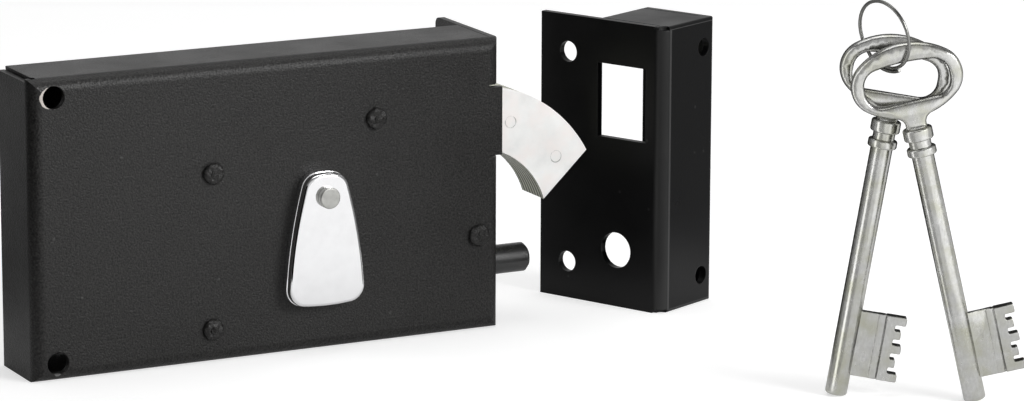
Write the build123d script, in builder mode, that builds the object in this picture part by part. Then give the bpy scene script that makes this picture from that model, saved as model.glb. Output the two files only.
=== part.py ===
from build123d import *
from math import atan2, cos, degrees, radians, sin, sqrt
import os

# Surface-mounted gate lock with a laminated hook bolt, its folded keeper and two lever keys on a ring.
# The origin is the middle of the lock case's underside: +X runs to the hook, +Y to the gate, +Z up.
# Sizes are in millimetres and angles in degrees, counted from +X towards +Z when seen from the front.

os.makedirs("parts", exist_ok=True)

# Lock case, one folded sheet closed by a back plate
case_width = 135.0
case_height = 80.0
case_depth = 22.0
case_sheet = 1.8
bend_radius = 3.4
seam_gap = 0.3
side_flange_drop = 0.9
corner_relief_radius = 0.9
back_sheet = 1.5
back_plate_play = 0.15
forend_overhang = 14.0
forend_corner_radius = 2.0
case_screw_edge = 6.6
case_screw_end = 4.9
case_screw_radius = 3.0
forend_screw_radius = 2.6
forend_screw_end = 10.0
fit = 0.05
side_play = 0.1

# Hook bolt, eight laminations that turn on one post
pivot_setback = 6.55
pivot_height = 26.5
hook_outer_radius = 40.0
hook_inner_radius = 23.0
hook_tip_outer_angle = 29.0
hook_tip_inner_angle = 17.6
hook_throw = 56.0
lamination = 1.6
lamination_count = 8
core_first = 3
core_last = 6
hook_stack_gap = 2.3
outer_leaf_end_angle = 82.0
core_end_angle = 124.0
web_angle = 97.0
hub_radius = 4.2
hook_rivet_radius = 1.6
hook_rivet_angles = (35.9, 68.3)
hook_edge = 0.14
window_clearance = 0.5
window_side_clearance = 1.6
window_tab_proud = 0.5
window_notch = 0.7

# Tail of the hook bolt, with one notch for each of two turns of the key
tail_radius = 37.0
tail_notch_depth = 4.0
tail_notch_width = 7.0
tail_tooth_width = 2.4
tail_floor_gap = 0.8
tail_heel_angle = 70.0

# Stump on the tail and the levers that hold it
stump_radius = 2.0
stump_circle = 27.0
stump_angle = 151.0
lever_post_dx = -30.45
lever_post_dz = 35.0
lever_play = 0.1
lever_drop = 4.0
lever_eye_radius = 5.5
lever_gate_clearance = 0.25
lever_inner_radius = 19.5
lever_start_angle = 139.5
lever_end_angle = 217.0
lever_toe_angle = 6.0
lever_toe_width = 5.0
lever_shoulder_angle = -53.0
lever_belly_share = 0.7
lever_ring_clearance = 0.6
long_tooth_reach = 14.5
short_tooth_cut = 1.3
belly_clearance = 0.2
spring_thickness = 0.4
spring_width = 1.1
spring_seat_gap = 0.3
spring_reach = 19.5
spring_root_dx = 2.2
spring_root_dz = 4.2
spring_horn_radius = 2.4
spring_bow_share = 0.17

# Posts and their riveted heads
journal_radius = 2.5
shoulder_radius = 4.0
pivot_shoulder_radius = 3.1
brace_radius = 3.0
spigot_radius = 1.8
head_radius = 2.7
head_height = 1.1
head_edge = 0.55
nib_radius = 0.95
nib_height = 0.5
brace_upper_x = 50.7
brace_upper_z = 51.0
brace_lower_x = 50.2
brace_lower_z = 9.1

# Fixed guide stud below the hook
stud_radius = 4.0
stud_length = 13.6
stud_height = 16.0
stud_y = 1.0
stud_chamfer = 0.9
stud_spigot_radius = 3.0
stud_head_height = 1.2

# Keyhole and its drop cover
key_axis_dx = -46.95
key_axis_z = 30.0
keyhole_radius = 4.0
keyhole_slot_width = 3.6
keyhole_slot_reach = 15.2
cover_length = 36.0
cover_top_half = 5.6
cover_bottom_half = 11.1
cover_depth = 4.7
cover_wall = 1.0
cover_corner_radius = 4.6
cover_side_bulge = 1.1
cover_end_bulge = 1.0
cover_edge = 1.0
cover_gap = 0.15
cover_pivot_above_key = 12.6
cover_pivot_below_top = 6.4
cover_rivet_head_radius = 2.85
cover_rivet_head_height = 1.7
cover_rivet_edge = 0.35
cover_rivet_neck_radius = 1.6
cover_rivet_shoulder_radius = 2.4

# Keeper, one folded sheet, standing turned away from the lock as it is set down
keeper_x = 113.7
keeper_y = -18.1
keeper_turn = 25.0
keeper_sheet = 2.0
keeper_height = 80.0
keeper_plate_width = 42.0
keeper_box_depth = 22.5
keeper_box_length = 23.0
keeper_bend = 3.4
keeper_end_bend = 1.0
keeper_relief_radius = 1.5
strike_hole_near = 6.2
strike_hole_width = 16.3
strike_hole_height = 20.6
strike_hole_centre_z = 57.6
stud_hole_radius = 5.0
stud_hole_inset = 15.9
stud_hole_z = 15.9
keeper_plate_screw_inset = 9.3
keeper_plate_screw_spacing = 59.4
keeper_plate_screw_radius = 2.9
keeper_front_screw_inset = 18.2
keeper_front_screw_spacing = 64.2
keeper_front_screw_radius = 2.5

# Keys and ring, standing on their tips in an upright plane that is turned about Z
keys_turn = 27.25
front_key_x = 142.0
front_key_y = -132.4
front_key_lean = 13.1
front_key_recline = 0.0
rear_key_lean = -9.2
rear_key_recline = 0.0
rear_key_shift = -35.3
key_plane_step = 5.7
key_length = 94.9
shank_radius = 2.85
shank_tip_round = 0.7
key_bit_start = 5.6
key_tooth_width = 2.1
key_tooth_gap = 1.65
key_tooth_round = 0.4
key_tooth_depth = 2.7
key_tooth_cuts = (0.0, 1.1, 0.2, 0.9, 0.0)
key_web_reach = 7.3
key_web_thickness = 2.0
key_mid_reach = 9.4
key_mid_thickness = 2.4
key_groove_width = 0.4
key_groove_thickness = 1.6
key_strip_thickness = 3.0
collar_low = 65.6
collar_low_height = 2.2
collar_groove_height = 1.9
collar_high_height = 3.1
collar_low_radius = 3.75
collar_round = 0.55
collar_high_radius = 3.8
bow_half_width = 14.3
bow_half_height = 9.7
bow_end_radius = 7.2
bow_top_bar = 4.8
bow_hole_half_width = 10.9
bow_hole_height = 10.3
bow_hole_rise = 1.3
bow_hole_round = 4.2
bow_thickness = 3.2
bow_edge = 0.8
neck_half_width = 2.65
neck_flare = 2.4
neck_collar_lap = 0.5
ring_radius = 8.9
ring_wire_radius = 0.45
ring_shift = -25.1
ring_forward = 1.4
ring_z = 95.05
ring_normal = (-0.767, 0.609, -0.2)

# Places worked out from the sizes above
half_width = case_width / 2
front_y = -case_depth / 2
back_y = case_depth / 2
inner_front_y = front_y + case_sheet
back_plate_y = back_y - back_sheet
pivot_x = half_width - pivot_setback
stack_y = inner_front_y + hook_stack_gap
hook_rivet_circle = (hook_inner_radius + hook_outer_radius) / 2
lever_post_x = pivot_x + lever_post_dx
lever_post_z = pivot_height + lever_post_dz
key_x = pivot_x + key_axis_dx
cover_pivot_z = key_axis_z + cover_pivot_above_key


def leaf_span(number):
    """Front and back of one lamination, counted from the front."""
    return stack_y + (number - 1) * lamination, stack_y + number * lamination


core_start_y = leaf_span(core_first)[0]
core_end_y = leaf_span(core_last)[1]
stack_end_y = leaf_span(lamination_count)[1]


def facing(y):
    """Sketch plane across the lock at this depth; a negative extrusion goes towards the gate."""
    return Plane.XZ.offset(-y)


def about_pivot(radius, angle):
    """Point of the lock's plane in polar form about the hook's pivot."""
    return (
        pivot_x + radius * cos(radians(angle)),
        pivot_height + radius * sin(radians(angle)),
    )


def turned_about_post(point, angle):
    """Point of the lock's plane turned about the lever post."""
    dx = point[0] - lever_post_x
    dz = point[1] - lever_post_z
    c = cos(radians(angle))
    s = sin(radians(angle))
    return (lever_post_x + c * dx - s * dz, lever_post_z + s * dx + c * dz)


def rod(x, z, radius, start_y, end_y, mode=Mode.ADD):
    """Round bar or bore along Y, added to the part being built."""
    with Locations(Location((x, (start_y + end_y) / 2, z), (90, 0, 0))):
        Cylinder(radius=radius, height=end_y - start_y, mode=mode)


def finish(builder, name):
    """Label one finished sub-part and write it."""
    builder.part.label = name
    export_step(builder.part, f"parts/{name}.step")


# Window in the forend, from the circles that the hook's edges follow
window_bottom = pivot_height + sqrt(hook_inner_radius ** 2 - pivot_setback ** 2) - window_clearance
window_inner_run = pivot_setback - case_sheet
window_top = pivot_height + sqrt(hook_outer_radius ** 2 - window_inner_run ** 2) + window_clearance
window_height = window_top - window_bottom
window_centre_z = (window_top + window_bottom) / 2
window_back_y = stack_end_y + window_side_clearance

post_places = (
    (pivot_x, pivot_height),
    (lever_post_x, lever_post_z),
    (brace_upper_x - half_width, brace_upper_z),
    (brace_lower_x - half_width, brace_lower_z),
)
case_screw_x = case_screw_edge - half_width
case_screw_zs = (case_screw_end, case_height - case_screw_end)


# Front cover, side flanges and forend, folded from one sheet
with BuildPart() as front_case:
    Box(case_width, case_depth, case_height, align=(Align.CENTER, Align.CENTER, Align.MIN))
    outer_front = front_case.faces().sort_by(Axis.Y)[0]
    fillet(outer_front.edges(), bend_radius)
    with BuildSketch(facing(inner_front_y)):
        with Locations((0, case_height / 2)):
            Rectangle(case_width - 2 * case_sheet, case_height - 2 * case_sheet)
    extrude(amount=-case_depth, mode=Mode.SUBTRACT)
    inner_front = front_case.faces().filter_by(Axis.Y).sort_by(Axis.Y)[1]
    fillet(inner_front.edges(), bend_radius - case_sheet)
    # Forend, carried on past the back of the case
    with BuildSketch(Plane.YZ.offset(half_width - case_sheet)) as overhang:
        with Locations((back_y + forend_overhang / 2, case_height / 2)):
            Rectangle(forend_overhang, case_height)
        fillet(overhang.vertices().group_by(Axis.X)[-1], forend_corner_radius)
    extrude(amount=case_sheet)
    # Open seams where the top and bottom flanges meet the side flange and the forend
    flange_run = case_depth - bend_radius
    flange_y = front_y + bend_radius + flange_run / 2
    for flange_z in (case_sheet / 2, case_height - case_sheet / 2):
        for seam_x in (
            -half_width + case_sheet + seam_gap / 2,
            half_width - case_sheet - seam_gap / 2,
        ):
            with Locations((seam_x, flange_y, flange_z)):
                Box(seam_gap, flange_run, case_sheet, mode=Mode.SUBTRACT)
    with Locations((case_sheet / 2 - half_width, flange_y, case_height - side_flange_drop / 2)):
        Box(case_sheet, flange_run, side_flange_drop, mode=Mode.SUBTRACT)
    # Bend reliefs at the two left corners
    for relief_z in (0, case_height):
        with Locations((case_sheet + seam_gap / 2 - half_width, front_y + bend_radius, relief_z)):
            Cylinder(corner_relief_radius, 2 * case_sheet, mode=Mode.SUBTRACT)
    # Window for the hook; the front sheet stays flat beside it as a tab
    with BuildSketch(Plane.YZ.offset(half_width - bend_radius)):
        with Locations(((front_y + window_back_y) / 2, window_centre_z)):
            Rectangle(window_back_y - front_y, window_height + 2 * window_notch)
    extrude(amount=bend_radius - case_sheet, mode=Mode.SUBTRACT)
    with BuildSketch(Plane.YZ.offset(half_width - case_sheet)):
        with Locations(((front_y + window_back_y) / 2, window_centre_z)):
            Rectangle(window_back_y - front_y, window_height)
        with Locations((front_y + bend_radius / 2, window_centre_z)):
            Rectangle(bend_radius, window_height + 2 * window_notch)
    extrude(amount=case_sheet, mode=Mode.SUBTRACT)
    with BuildSketch(Plane.YZ.offset(half_width - bend_radius)):
        with Locations((front_y + case_sheet / 2, window_centre_z)):
            Rectangle(case_sheet, window_height)
    extrude(amount=bend_radius + window_tab_proud)
    # Stud and screw holes in the forend
    with BuildSketch(Plane.YZ.offset(half_width - case_sheet)):
        with Locations((stud_y, stud_height)):
            Circle(stud_spigot_radius + fit)
        for screw_z in (forend_screw_end, case_height - forend_screw_end):
            with Locations((back_y + forend_overhang / 2, screw_z)):
                Circle(forend_screw_radius)
    extrude(amount=case_sheet, mode=Mode.SUBTRACT)
    # Rivet, screw and key holes in the front sheet
    with BuildSketch(facing(front_y)):
        with Locations(*post_places, (key_x, cover_pivot_z)):
            Circle(spigot_radius + fit)
        with Locations(*((case_screw_x, z) for z in case_screw_zs)):
            Circle(case_screw_radius)
        with Locations((key_x, key_axis_z)):
            Circle(keyhole_radius)
        with Locations((key_x, key_axis_z - keyhole_slot_reach / 2)):
            Rectangle(keyhole_slot_width, keyhole_slot_reach)
    extrude(amount=-bend_radius, mode=Mode.SUBTRACT)
finish(front_case, "front_case")

# Back plate, let in between the flanges, with the fixing screws' holes in line with those of the front
with BuildPart() as back_plate:
    with BuildSketch(facing(back_plate_y)):
        with Locations((0, case_height / 2)):
            Rectangle(
                case_width - 2 * (case_sheet + back_plate_play),
                case_height - 2 * (case_sheet + back_plate_play),
            )
        with Locations(*((case_screw_x, z) for z in case_screw_zs)):
            Circle(case_screw_radius, mode=Mode.SUBTRACT)
        with Locations(*post_places):
            Circle(spigot_radius + fit, mode=Mode.SUBTRACT)
        with Locations((key_x, key_axis_z)):
            Circle(keyhole_radius, mode=Mode.SUBTRACT)
        with Locations((key_x, key_axis_z - keyhole_slot_reach / 2)):
            Rectangle(keyhole_slot_width, keyhole_slot_reach, mode=Mode.SUBTRACT)
    extrude(amount=-back_sheet)
finish(back_plate, "back_plate")


def post(name, x, z, body_radius, shoulder_end_y=None, shoulder=shoulder_radius):
    """Turned post between the two sheets, riveted over with a small nib at the front."""
    with BuildPart() as turned:
        rod(x, z, head_radius, front_y - head_height, front_y)
        fillet(turned.edges().sort_by(Axis.Y)[0], head_edge)
        rod(x, z, nib_radius, front_y - head_height - nib_height, front_y - head_height)
        rod(x, z, spigot_radius, front_y, back_y)
        rod(x, z, body_radius, inner_front_y, back_plate_y)
        if shoulder_end_y is not None:
            rod(x, z, shoulder, inner_front_y, shoulder_end_y)
    finish(turned, name)


post("hook_pivot_post", *post_places[0], journal_radius, core_start_y - side_play, pivot_shoulder_radius)
post("lever_post", *post_places[1], journal_radius, stack_y)
post("upper_case_post", *post_places[2], brace_radius)
post("lower_case_post", *post_places[3], brace_radius)


def sleeve(name, x, z, *spans):
    """Loose tubes on a journal, one for each span of Y."""
    with BuildPart() as tubes:
        for start_y, end_y in spans:
            rod(x, z, shoulder_radius, start_y, end_y)
            rod(x, z, journal_radius + fit, start_y, end_y, mode=Mode.SUBTRACT)
    finish(tubes, name)


sleeve("hook_pivot_sleeve", *post_places[0], (core_end_y + side_play, back_plate_y))
sleeve(
    "lever_post_sleeves",
    *post_places[1],
    (core_start_y, core_end_y),
    (stack_end_y, back_plate_y),
)

# Fixed guide stud, riveted into the forend from inside
with BuildPart() as guide_stud:
    for radius, start_x, end_x in (
        (stud_radius, half_width, half_width + stud_length),
        (stud_spigot_radius, half_width - case_sheet, half_width),
        (stud_radius, half_width - case_sheet - stud_head_height, half_width - case_sheet),
    ):
        with Locations(Location(((start_x + end_x) / 2, stud_y, stud_height), (0, 90, 0))):
            Cylinder(radius, end_x - start_x)
    chamfer(guide_stud.edges().sort_by(Axis.X)[-1], stud_chamfer)
finish(guide_stud, "guide_stud")


def rivet_holes():
    """Holes for the flush rivets, cut in the lamination being sketched."""
    with Locations(*(about_pivot(hook_rivet_circle, angle) for angle in hook_rivet_angles)):
        Circle(hook_rivet_radius + fit / 2, mode=Mode.SUBTRACT)


def hook_arc(radius, start, end):
    """Arc about the pivot."""
    ThreePointArc(
        about_pivot(radius, start),
        about_pivot(radius, (start + end) / 2),
        about_pivot(radius, end),
    )


def ease_hook_edges(leaf):
    """Small chamfer round the curved head of a lamination, which shows as lines between them."""
    tip_middle = about_pivot(
        (hook_inner_radius + hook_outer_radius) / 2,
        (hook_tip_inner_angle + hook_tip_outer_angle) / 2,
    )
    flat_edges = leaf.faces().filter_by(Axis.Y).edges()
    arcs = flat_edges.filter_by(GeomType.CIRCLE).filter_by(
        lambda edge: edge.radius in (hook_inner_radius, hook_outer_radius)
    )
    tips = flat_edges.filter_by(GeomType.LINE).sort_by(
        lambda edge: abs(edge.center().X - tip_middle[0]) + abs(edge.center().Z - tip_middle[1])
    )[:2]
    chamfer(arcs + tips, hook_edge)


def outer_leaf(number):
    """Outer lamination: only the curved head, so that the levers have room behind it."""
    start_y, end_y = leaf_span(number)
    with BuildPart() as leaf:
        with BuildSketch(facing(start_y)):
            with BuildLine():
                hook_arc(hook_outer_radius, hook_tip_outer_angle, outer_leaf_end_angle)
                hook_arc(hook_inner_radius, hook_tip_inner_angle, outer_leaf_end_angle)
                Line(
                    about_pivot(hook_inner_radius, hook_tip_inner_angle),
                    about_pivot(hook_outer_radius, hook_tip_outer_angle),
                )
                Line(
                    about_pivot(hook_inner_radius, outer_leaf_end_angle),
                    about_pivot(hook_outer_radius, outer_leaf_end_angle),
                )
            make_face()
            rivet_holes()
        extrude(amount=-(end_y - start_y))
        ease_hook_edges(leaf)
    finish(leaf, f"hook_plate_{number}")


# Angles of the tail, from the key's direction and half of the throw
key_direction = degrees(atan2(key_axis_z - pivot_height, key_axis_dx))
tail_centre = key_direction - hook_throw / 2
notch_half = degrees(tail_notch_width / 2 / tail_radius)
notch_angles = (tail_centre - hook_throw / 4, tail_centre + hook_throw / 4)
tooth_start = notch_angles[1] + notch_half
tooth_end = tooth_start + degrees(tail_tooth_width / tail_radius)
tail_drop = pivot_height - case_sheet - tail_floor_gap


def tail_reach(angle):
    """Radius at which the thrown-back tail still clears the bottom flange."""
    return min(tail_radius, tail_drop / sin(radians(angle + hook_throw - 180)))


def core_leaf(number):
    """Middle lamination: curved head, web, hub and the notched tail that the key moves."""
    start_y, end_y = leaf_span(number)
    notch_radius = tail_radius - tail_notch_depth
    first, second = notch_angles
    with BuildPart() as leaf:
        with BuildSketch(facing(start_y)):
            with BuildLine():
                hook_arc(hook_inner_radius, hook_tip_inner_angle, web_angle)
                Line(
                    about_pivot(hook_inner_radius, hook_tip_inner_angle),
                    about_pivot(hook_outer_radius, hook_tip_outer_angle),
                )
                hook_arc(hook_outer_radius, hook_tip_outer_angle, core_end_angle)
                Polyline(
                    about_pivot(hook_outer_radius, core_end_angle),
                    about_pivot(tail_radius, first - notch_half),
                    about_pivot(notch_radius, first - notch_half),
                    about_pivot(notch_radius, first + notch_half),
                    about_pivot(tail_radius, first + notch_half),
                )
                hook_arc(tail_radius, first + notch_half, second - notch_half)
                Polyline(
                    about_pivot(tail_radius, second - notch_half),
                    about_pivot(notch_radius, second - notch_half),
                    about_pivot(notch_radius, second + notch_half),
                    about_pivot(tail_reach(tooth_start), tooth_start),
                    about_pivot(tail_reach(tooth_end), tooth_end),
                    about_pivot(hub_radius, tooth_end + tail_heel_angle),
                    about_pivot(0, 0),
                    about_pivot(hook_inner_radius, web_angle),
                )
            make_face()
            with Locations((pivot_x, pivot_height)):
                Circle(hub_radius)
                Circle(journal_radius + fit, mode=Mode.SUBTRACT)
            with Locations(about_pivot(stump_circle, stump_angle)):
                Circle(stump_radius + fit / 2, mode=Mode.SUBTRACT)
            rivet_holes()
        extrude(amount=-(end_y - start_y))
        ease_hook_edges(leaf)
    finish(leaf, f"hook_plate_{number}")


for number in range(1, lamination_count + 1):
    if core_first <= number <= core_last:
        core_leaf(number)
    else:
        outer_leaf(number)

with BuildPart() as hook_rivets:
    for angle in hook_rivet_angles:
        rivet_x, rivet_z = about_pivot(hook_rivet_circle, angle)
        rod(rivet_x, rivet_z, hook_rivet_radius, stack_y, stack_end_y)
finish(hook_rivets, "hook_rivets")

with BuildPart() as hook_stump:
    stump_x, stump_z = about_pivot(stump_circle, stump_angle)
    rod(stump_x, stump_z, stump_radius, stack_y + lever_play, stack_end_y - lever_play)
finish(hook_stump, "hook_stump")

# Levers hang from their post in the layers outside the core leaves, drawn as the key lifts them
lever_layers = (1, 2, 7, 8)
lever_bellies = (
    long_tooth_reach + belly_clearance,
    long_tooth_reach - short_tooth_cut + belly_clearance,
    long_tooth_reach - short_tooth_cut + belly_clearance,
    long_tooth_reach + belly_clearance,
)
stump_thrown = about_pivot(stump_circle, stump_angle)
stump_drawn = about_pivot(stump_circle, stump_angle + hook_throw)
spring_start = (lever_post_x + spring_root_dx, lever_post_z + spring_root_dz)
spring_tip = (lever_post_x + spring_reach, case_height - case_sheet - spring_seat_gap)
spring_bow = spring_bow_share * (spring_tip[1] - spring_start[1])


def spring_line():
    """Bowed centre line of a lever's leaf spring, up to the top flange."""
    middle = (
        (spring_start[0] + spring_tip[0]) / 2 - spring_bow,
        (spring_start[1] + spring_tip[1]) / 2 + spring_bow,
    )
    ThreePointArc(spring_start, middle, spring_tip)


def lever(number, layer, belly_radius):
    """One lever: eye on the post, belly towards the key, and an arc gate with two pockets."""
    start_y, end_y = leaf_span(layer)
    gate_radius = stump_radius + lever_gate_clearance
    outer_radius = hook_outer_radius + lever_ring_clearance
    toe_start = lever_end_angle - lever_toe_angle
    lever_shoulder = (
        lever_post_x + lever_eye_radius * cos(radians(lever_shoulder_angle)),
        lever_post_z + lever_eye_radius * sin(radians(lever_shoulder_angle)),
    )
    with BuildPart() as plate:
        with BuildSketch(facing(start_y + lever_play)):
            with BuildLine():
                Polyline(
                    about_pivot(lever_inner_radius, lever_start_angle),
                    about_pivot(outer_radius, lever_start_angle),
                    lever_shoulder,
                    (lever_post_x, lever_post_z),
                    (lever_post_x - lever_eye_radius, lever_post_z),
                    (key_x + belly_radius * lever_belly_share, key_axis_z + belly_radius),
                    (key_x + belly_radius * lever_belly_share, key_axis_z - belly_radius),
                    about_pivot(stump_circle + lever_toe_width, toe_start),
                    about_pivot(stump_circle, lever_end_angle),
                    about_pivot(lever_inner_radius, toe_start),
                )
                hook_arc(lever_inner_radius, lever_start_angle, toe_start)
            make_face()
            with Locations((lever_post_x, lever_post_z)):
                Circle(lever_eye_radius)
            with Locations(spring_start):
                Circle(spring_horn_radius)
            with Locations((lever_post_x, lever_post_z)):
                Circle(journal_radius + fit, mode=Mode.SUBTRACT)
            with Locations((key_x, key_axis_z)):
                Circle(belly_radius, mode=Mode.SUBTRACT)
            gate_end = stump_angle + hook_throw
            with BuildLine():
                for radius in (stump_circle - gate_radius, stump_circle + gate_radius):
                    hook_arc(radius, stump_angle, gate_end)
                for angle in (stump_angle, gate_end):
                    Line(
                        about_pivot(stump_circle - gate_radius, angle),
                        about_pivot(stump_circle + gate_radius, angle),
                    )
            make_face(mode=Mode.SUBTRACT)
            for corner in (stump_thrown, stump_drawn):
                pocket_end = turned_about_post(corner, lever_drop)
                with BuildLine():
                    Line(corner, pocket_end)
                trace(line_width=2 * gate_radius, mode=Mode.SUBTRACT)
                with Locations(corner, pocket_end):
                    Circle(gate_radius, mode=Mode.SUBTRACT)
            with BuildLine():
                spring_line()
            trace(line_width=spring_thickness + fit, mode=Mode.SUBTRACT)
        extrude(amount=-(lamination - 2 * lever_play))
    finish(plate, f"lever_{number}")


def lever_spring(number, layer):
    """Leaf spring seated in the lever's head, bearing on the top flange."""
    start_y, end_y = leaf_span(layer)
    with BuildPart() as leaf:
        with BuildSketch(facing((start_y + end_y - spring_width) / 2)):
            with BuildLine():
                spring_line()
            trace(line_width=spring_thickness)
        extrude(amount=-spring_width)
    finish(leaf, f"lever_spring_{number}")


for number, (layer, belly_radius) in enumerate(zip(lever_layers, lever_bellies), start=1):
    lever(number, layer, belly_radius)
    lever_spring(number, layer)

# Drop cover over the keyhole, a pressed pear-shaped cap that hangs on its rivet
cover_rim_y = front_y - cover_gap
cover_face_y = cover_rim_y - cover_depth
cover_top_z = cover_pivot_z + cover_pivot_below_top
cover_bottom_z = cover_top_z - cover_length


def pear(inset):
    """Pear outline of the cover, drawn in by a wall's thickness."""
    bottom_half = cover_bottom_half - inset
    top_half = cover_top_half - inset
    side_half = (cover_bottom_half + cover_top_half) / 2 + cover_side_bulge - inset
    low_z = cover_bottom_z + inset
    high_z = cover_top_z - inset
    middle_z = (low_z + high_z) / 2
    left_foot = (key_x - bottom_half, low_z + cover_end_bulge)
    right_foot = (key_x + bottom_half, low_z + cover_end_bulge)
    left_head = (key_x - top_half, high_z - cover_end_bulge)
    right_head = (key_x + top_half, high_z - cover_end_bulge)
    with BuildSketch(facing(cover_rim_y)) as outline:
        with BuildLine():
            ThreePointArc(left_foot, (key_x, low_z), right_foot)
            ThreePointArc(right_foot, (key_x + side_half, middle_z), right_head)
            ThreePointArc(right_head, (key_x, high_z), left_head)
            ThreePointArc(left_head, (key_x - side_half, middle_z), left_foot)
        make_face()
        fillet(outline.vertices(), cover_corner_radius - inset)
    return outline.sketch


with BuildPart() as keyhole_cover:
    extrude(pear(0), amount=cover_depth)
    fillet(keyhole_cover.faces().sort_by(Axis.Y)[0].edges(), cover_edge)
    extrude(pear(cover_wall), amount=cover_depth - cover_wall, mode=Mode.SUBTRACT)
    rod(key_x, cover_pivot_z, cover_rivet_neck_radius + fit, cover_face_y, cover_rim_y, mode=Mode.SUBTRACT)
finish(keyhole_cover, "keyhole_cover")

with BuildPart() as cover_rivet:
    neck_end_y = cover_face_y - side_play
    rod(key_x, cover_pivot_z, cover_rivet_head_radius, neck_end_y - cover_rivet_head_height, neck_end_y)
    fillet(cover_rivet.edges().sort_by(Axis.Y)[0], cover_rivet_edge)
    rod(key_x, cover_pivot_z, cover_rivet_neck_radius, neck_end_y, inner_front_y)
    shoulder_y = cover_face_y + cover_wall + side_play
    rod(key_x, cover_pivot_z, cover_rivet_shoulder_radius, shoulder_y, front_y)
    rod(key_x, cover_pivot_z, spigot_radius, front_y, inner_front_y)
    rod(key_x, cover_pivot_z, head_radius, inner_front_y, inner_front_y + head_height)
finish(cover_rivet, "cover_rivet")

# Keeper: its own frame has x into the box, y towards the post and z up
turn = radians(keeper_turn)
keeper_into = Vector(cos(turn), sin(turn), 0)
keeper_back = Vector(-sin(turn), cos(turn), 0)
keeper_corner = Vector(keeper_x, keeper_y, 0)
keeper_plane = Plane(origin=keeper_corner, x_dir=keeper_into, z_dir=(0, 0, 1))
strike_face = Plane(origin=keeper_corner, x_dir=keeper_back, z_dir=keeper_into)
keeper_front = Plane(origin=keeper_corner, x_dir=keeper_into, z_dir=-keeper_back)
near_corner = (Align.MIN, Align.MIN, Align.MIN)
with BuildPart(keeper_plane) as keeper:
    Box(keeper_box_length, keeper_box_depth, keeper_height, align=near_corner)
    front_wall = keeper.faces().sort_by(Axis(keeper_corner, keeper_back))[0]
    fillet(front_wall.edges().sort_by(Axis(keeper_corner, keeper_into))[0], keeper_bend)
    front_wall = keeper.faces().sort_by(Axis(keeper_corner, keeper_back))[0]
    fillet(front_wall.edges().sort_by(Axis(keeper_corner, keeper_into))[1:], keeper_end_bend)
    with Locations((keeper_sheet, keeper_sheet, keeper_sheet)):
        Box(
            keeper_box_length - 2 * keeper_sheet,
            keeper_box_depth,
            keeper_height - 2 * keeper_sheet,
            align=near_corner,
            mode=Mode.SUBTRACT,
        )
    with Locations((0, keeper_bend, 0)):
        Box(keeper_sheet, keeper_plate_width - keeper_bend, keeper_height, align=near_corner)
    for flange_z in (0, keeper_height - keeper_sheet):
        with Locations((keeper_sheet, keeper_bend, flange_z)):
            Box(seam_gap, keeper_box_depth, keeper_sheet, align=near_corner, mode=Mode.SUBTRACT)
        with Locations((keeper_box_length - keeper_sheet - seam_gap, keeper_bend, flange_z)):
            Box(seam_gap, keeper_box_depth, keeper_sheet, align=near_corner, mode=Mode.SUBTRACT)
    for corner_z in (0, keeper_height):
        with Locations((keeper_sheet / 2 + seam_gap, keeper_sheet / 2, corner_z)):
            Cylinder(keeper_relief_radius, keeper_sheet, mode=Mode.SUBTRACT)
    with BuildSketch(strike_face):
        with Locations((strike_hole_near + strike_hole_width / 2, strike_hole_centre_z)):
            Rectangle(strike_hole_width, strike_hole_height)
        with Locations((stud_hole_inset, stud_hole_z)):
            Circle(stud_hole_radius)
        with Locations((keeper_plate_width - keeper_plate_screw_inset, keeper_height / 2)):
            with GridLocations(0, keeper_plate_screw_spacing, 1, 2):
                Circle(keeper_plate_screw_radius)
    extrude(amount=keeper_sheet, mode=Mode.SUBTRACT)
    with BuildSketch(keeper_front):
        with Locations((keeper_front_screw_inset, keeper_height / 2)):
            with GridLocations(0, keeper_front_screw_spacing, 1, 2):
                Circle(keeper_front_screw_radius)
    extrude(amount=-keeper_sheet, mode=Mode.SUBTRACT)
finish(keeper, "keeper")

# Keys: sideways is the direction across the upright plane, towards the viewer is its front
keys_angle = radians(keys_turn)
sideways = Vector(cos(keys_angle), -sin(keys_angle), 0)
inwards = Vector(sin(keys_angle), cos(keys_angle), 0)
upwards = Vector(0, 0, 1)


def tip_height(lean, recline):
    """Height of a leaning key's axis above the ground when the round of its tip rests on it."""
    upright = cos(radians(lean)) * cos(radians(recline))
    rim = shank_radius - shank_tip_round
    return rim * sqrt(1 - upright ** 2) + shank_tip_round * (1 - upright)


front_key_foot = Vector(front_key_x, front_key_y, 0)
rear_key_foot = front_key_foot + sideways * rear_key_shift + inwards * key_plane_step
tooth_pitch = key_tooth_width + key_tooth_gap
key_bit_length = key_tooth_width + tooth_pitch * (len(key_tooth_cuts) - 1)
bow_centre = key_length - bow_half_height


def oval(half_width, half_height, end_radius):
    """Oval of two end arcs joined by two flatter ones, drawn about the sketch's middle."""
    reach = half_width - end_radius
    flat_radius = (reach ** 2 + half_height ** 2 - end_radius ** 2) / (2 * (half_height - end_radius))
    share = end_radius / (flat_radius - end_radius)
    join_x = reach * (1 + share)
    join_y = (flat_radius - half_height) * share
    ThreePointArc((-join_x, join_y), (0, half_height), (join_x, join_y))
    ThreePointArc((join_x, join_y), (half_width, 0), (join_x, -join_y))
    ThreePointArc((join_x, -join_y), (0, -half_height), (-join_x, -join_y))
    ThreePointArc((-join_x, -join_y), (-half_width, 0), (-join_x, join_y))


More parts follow.
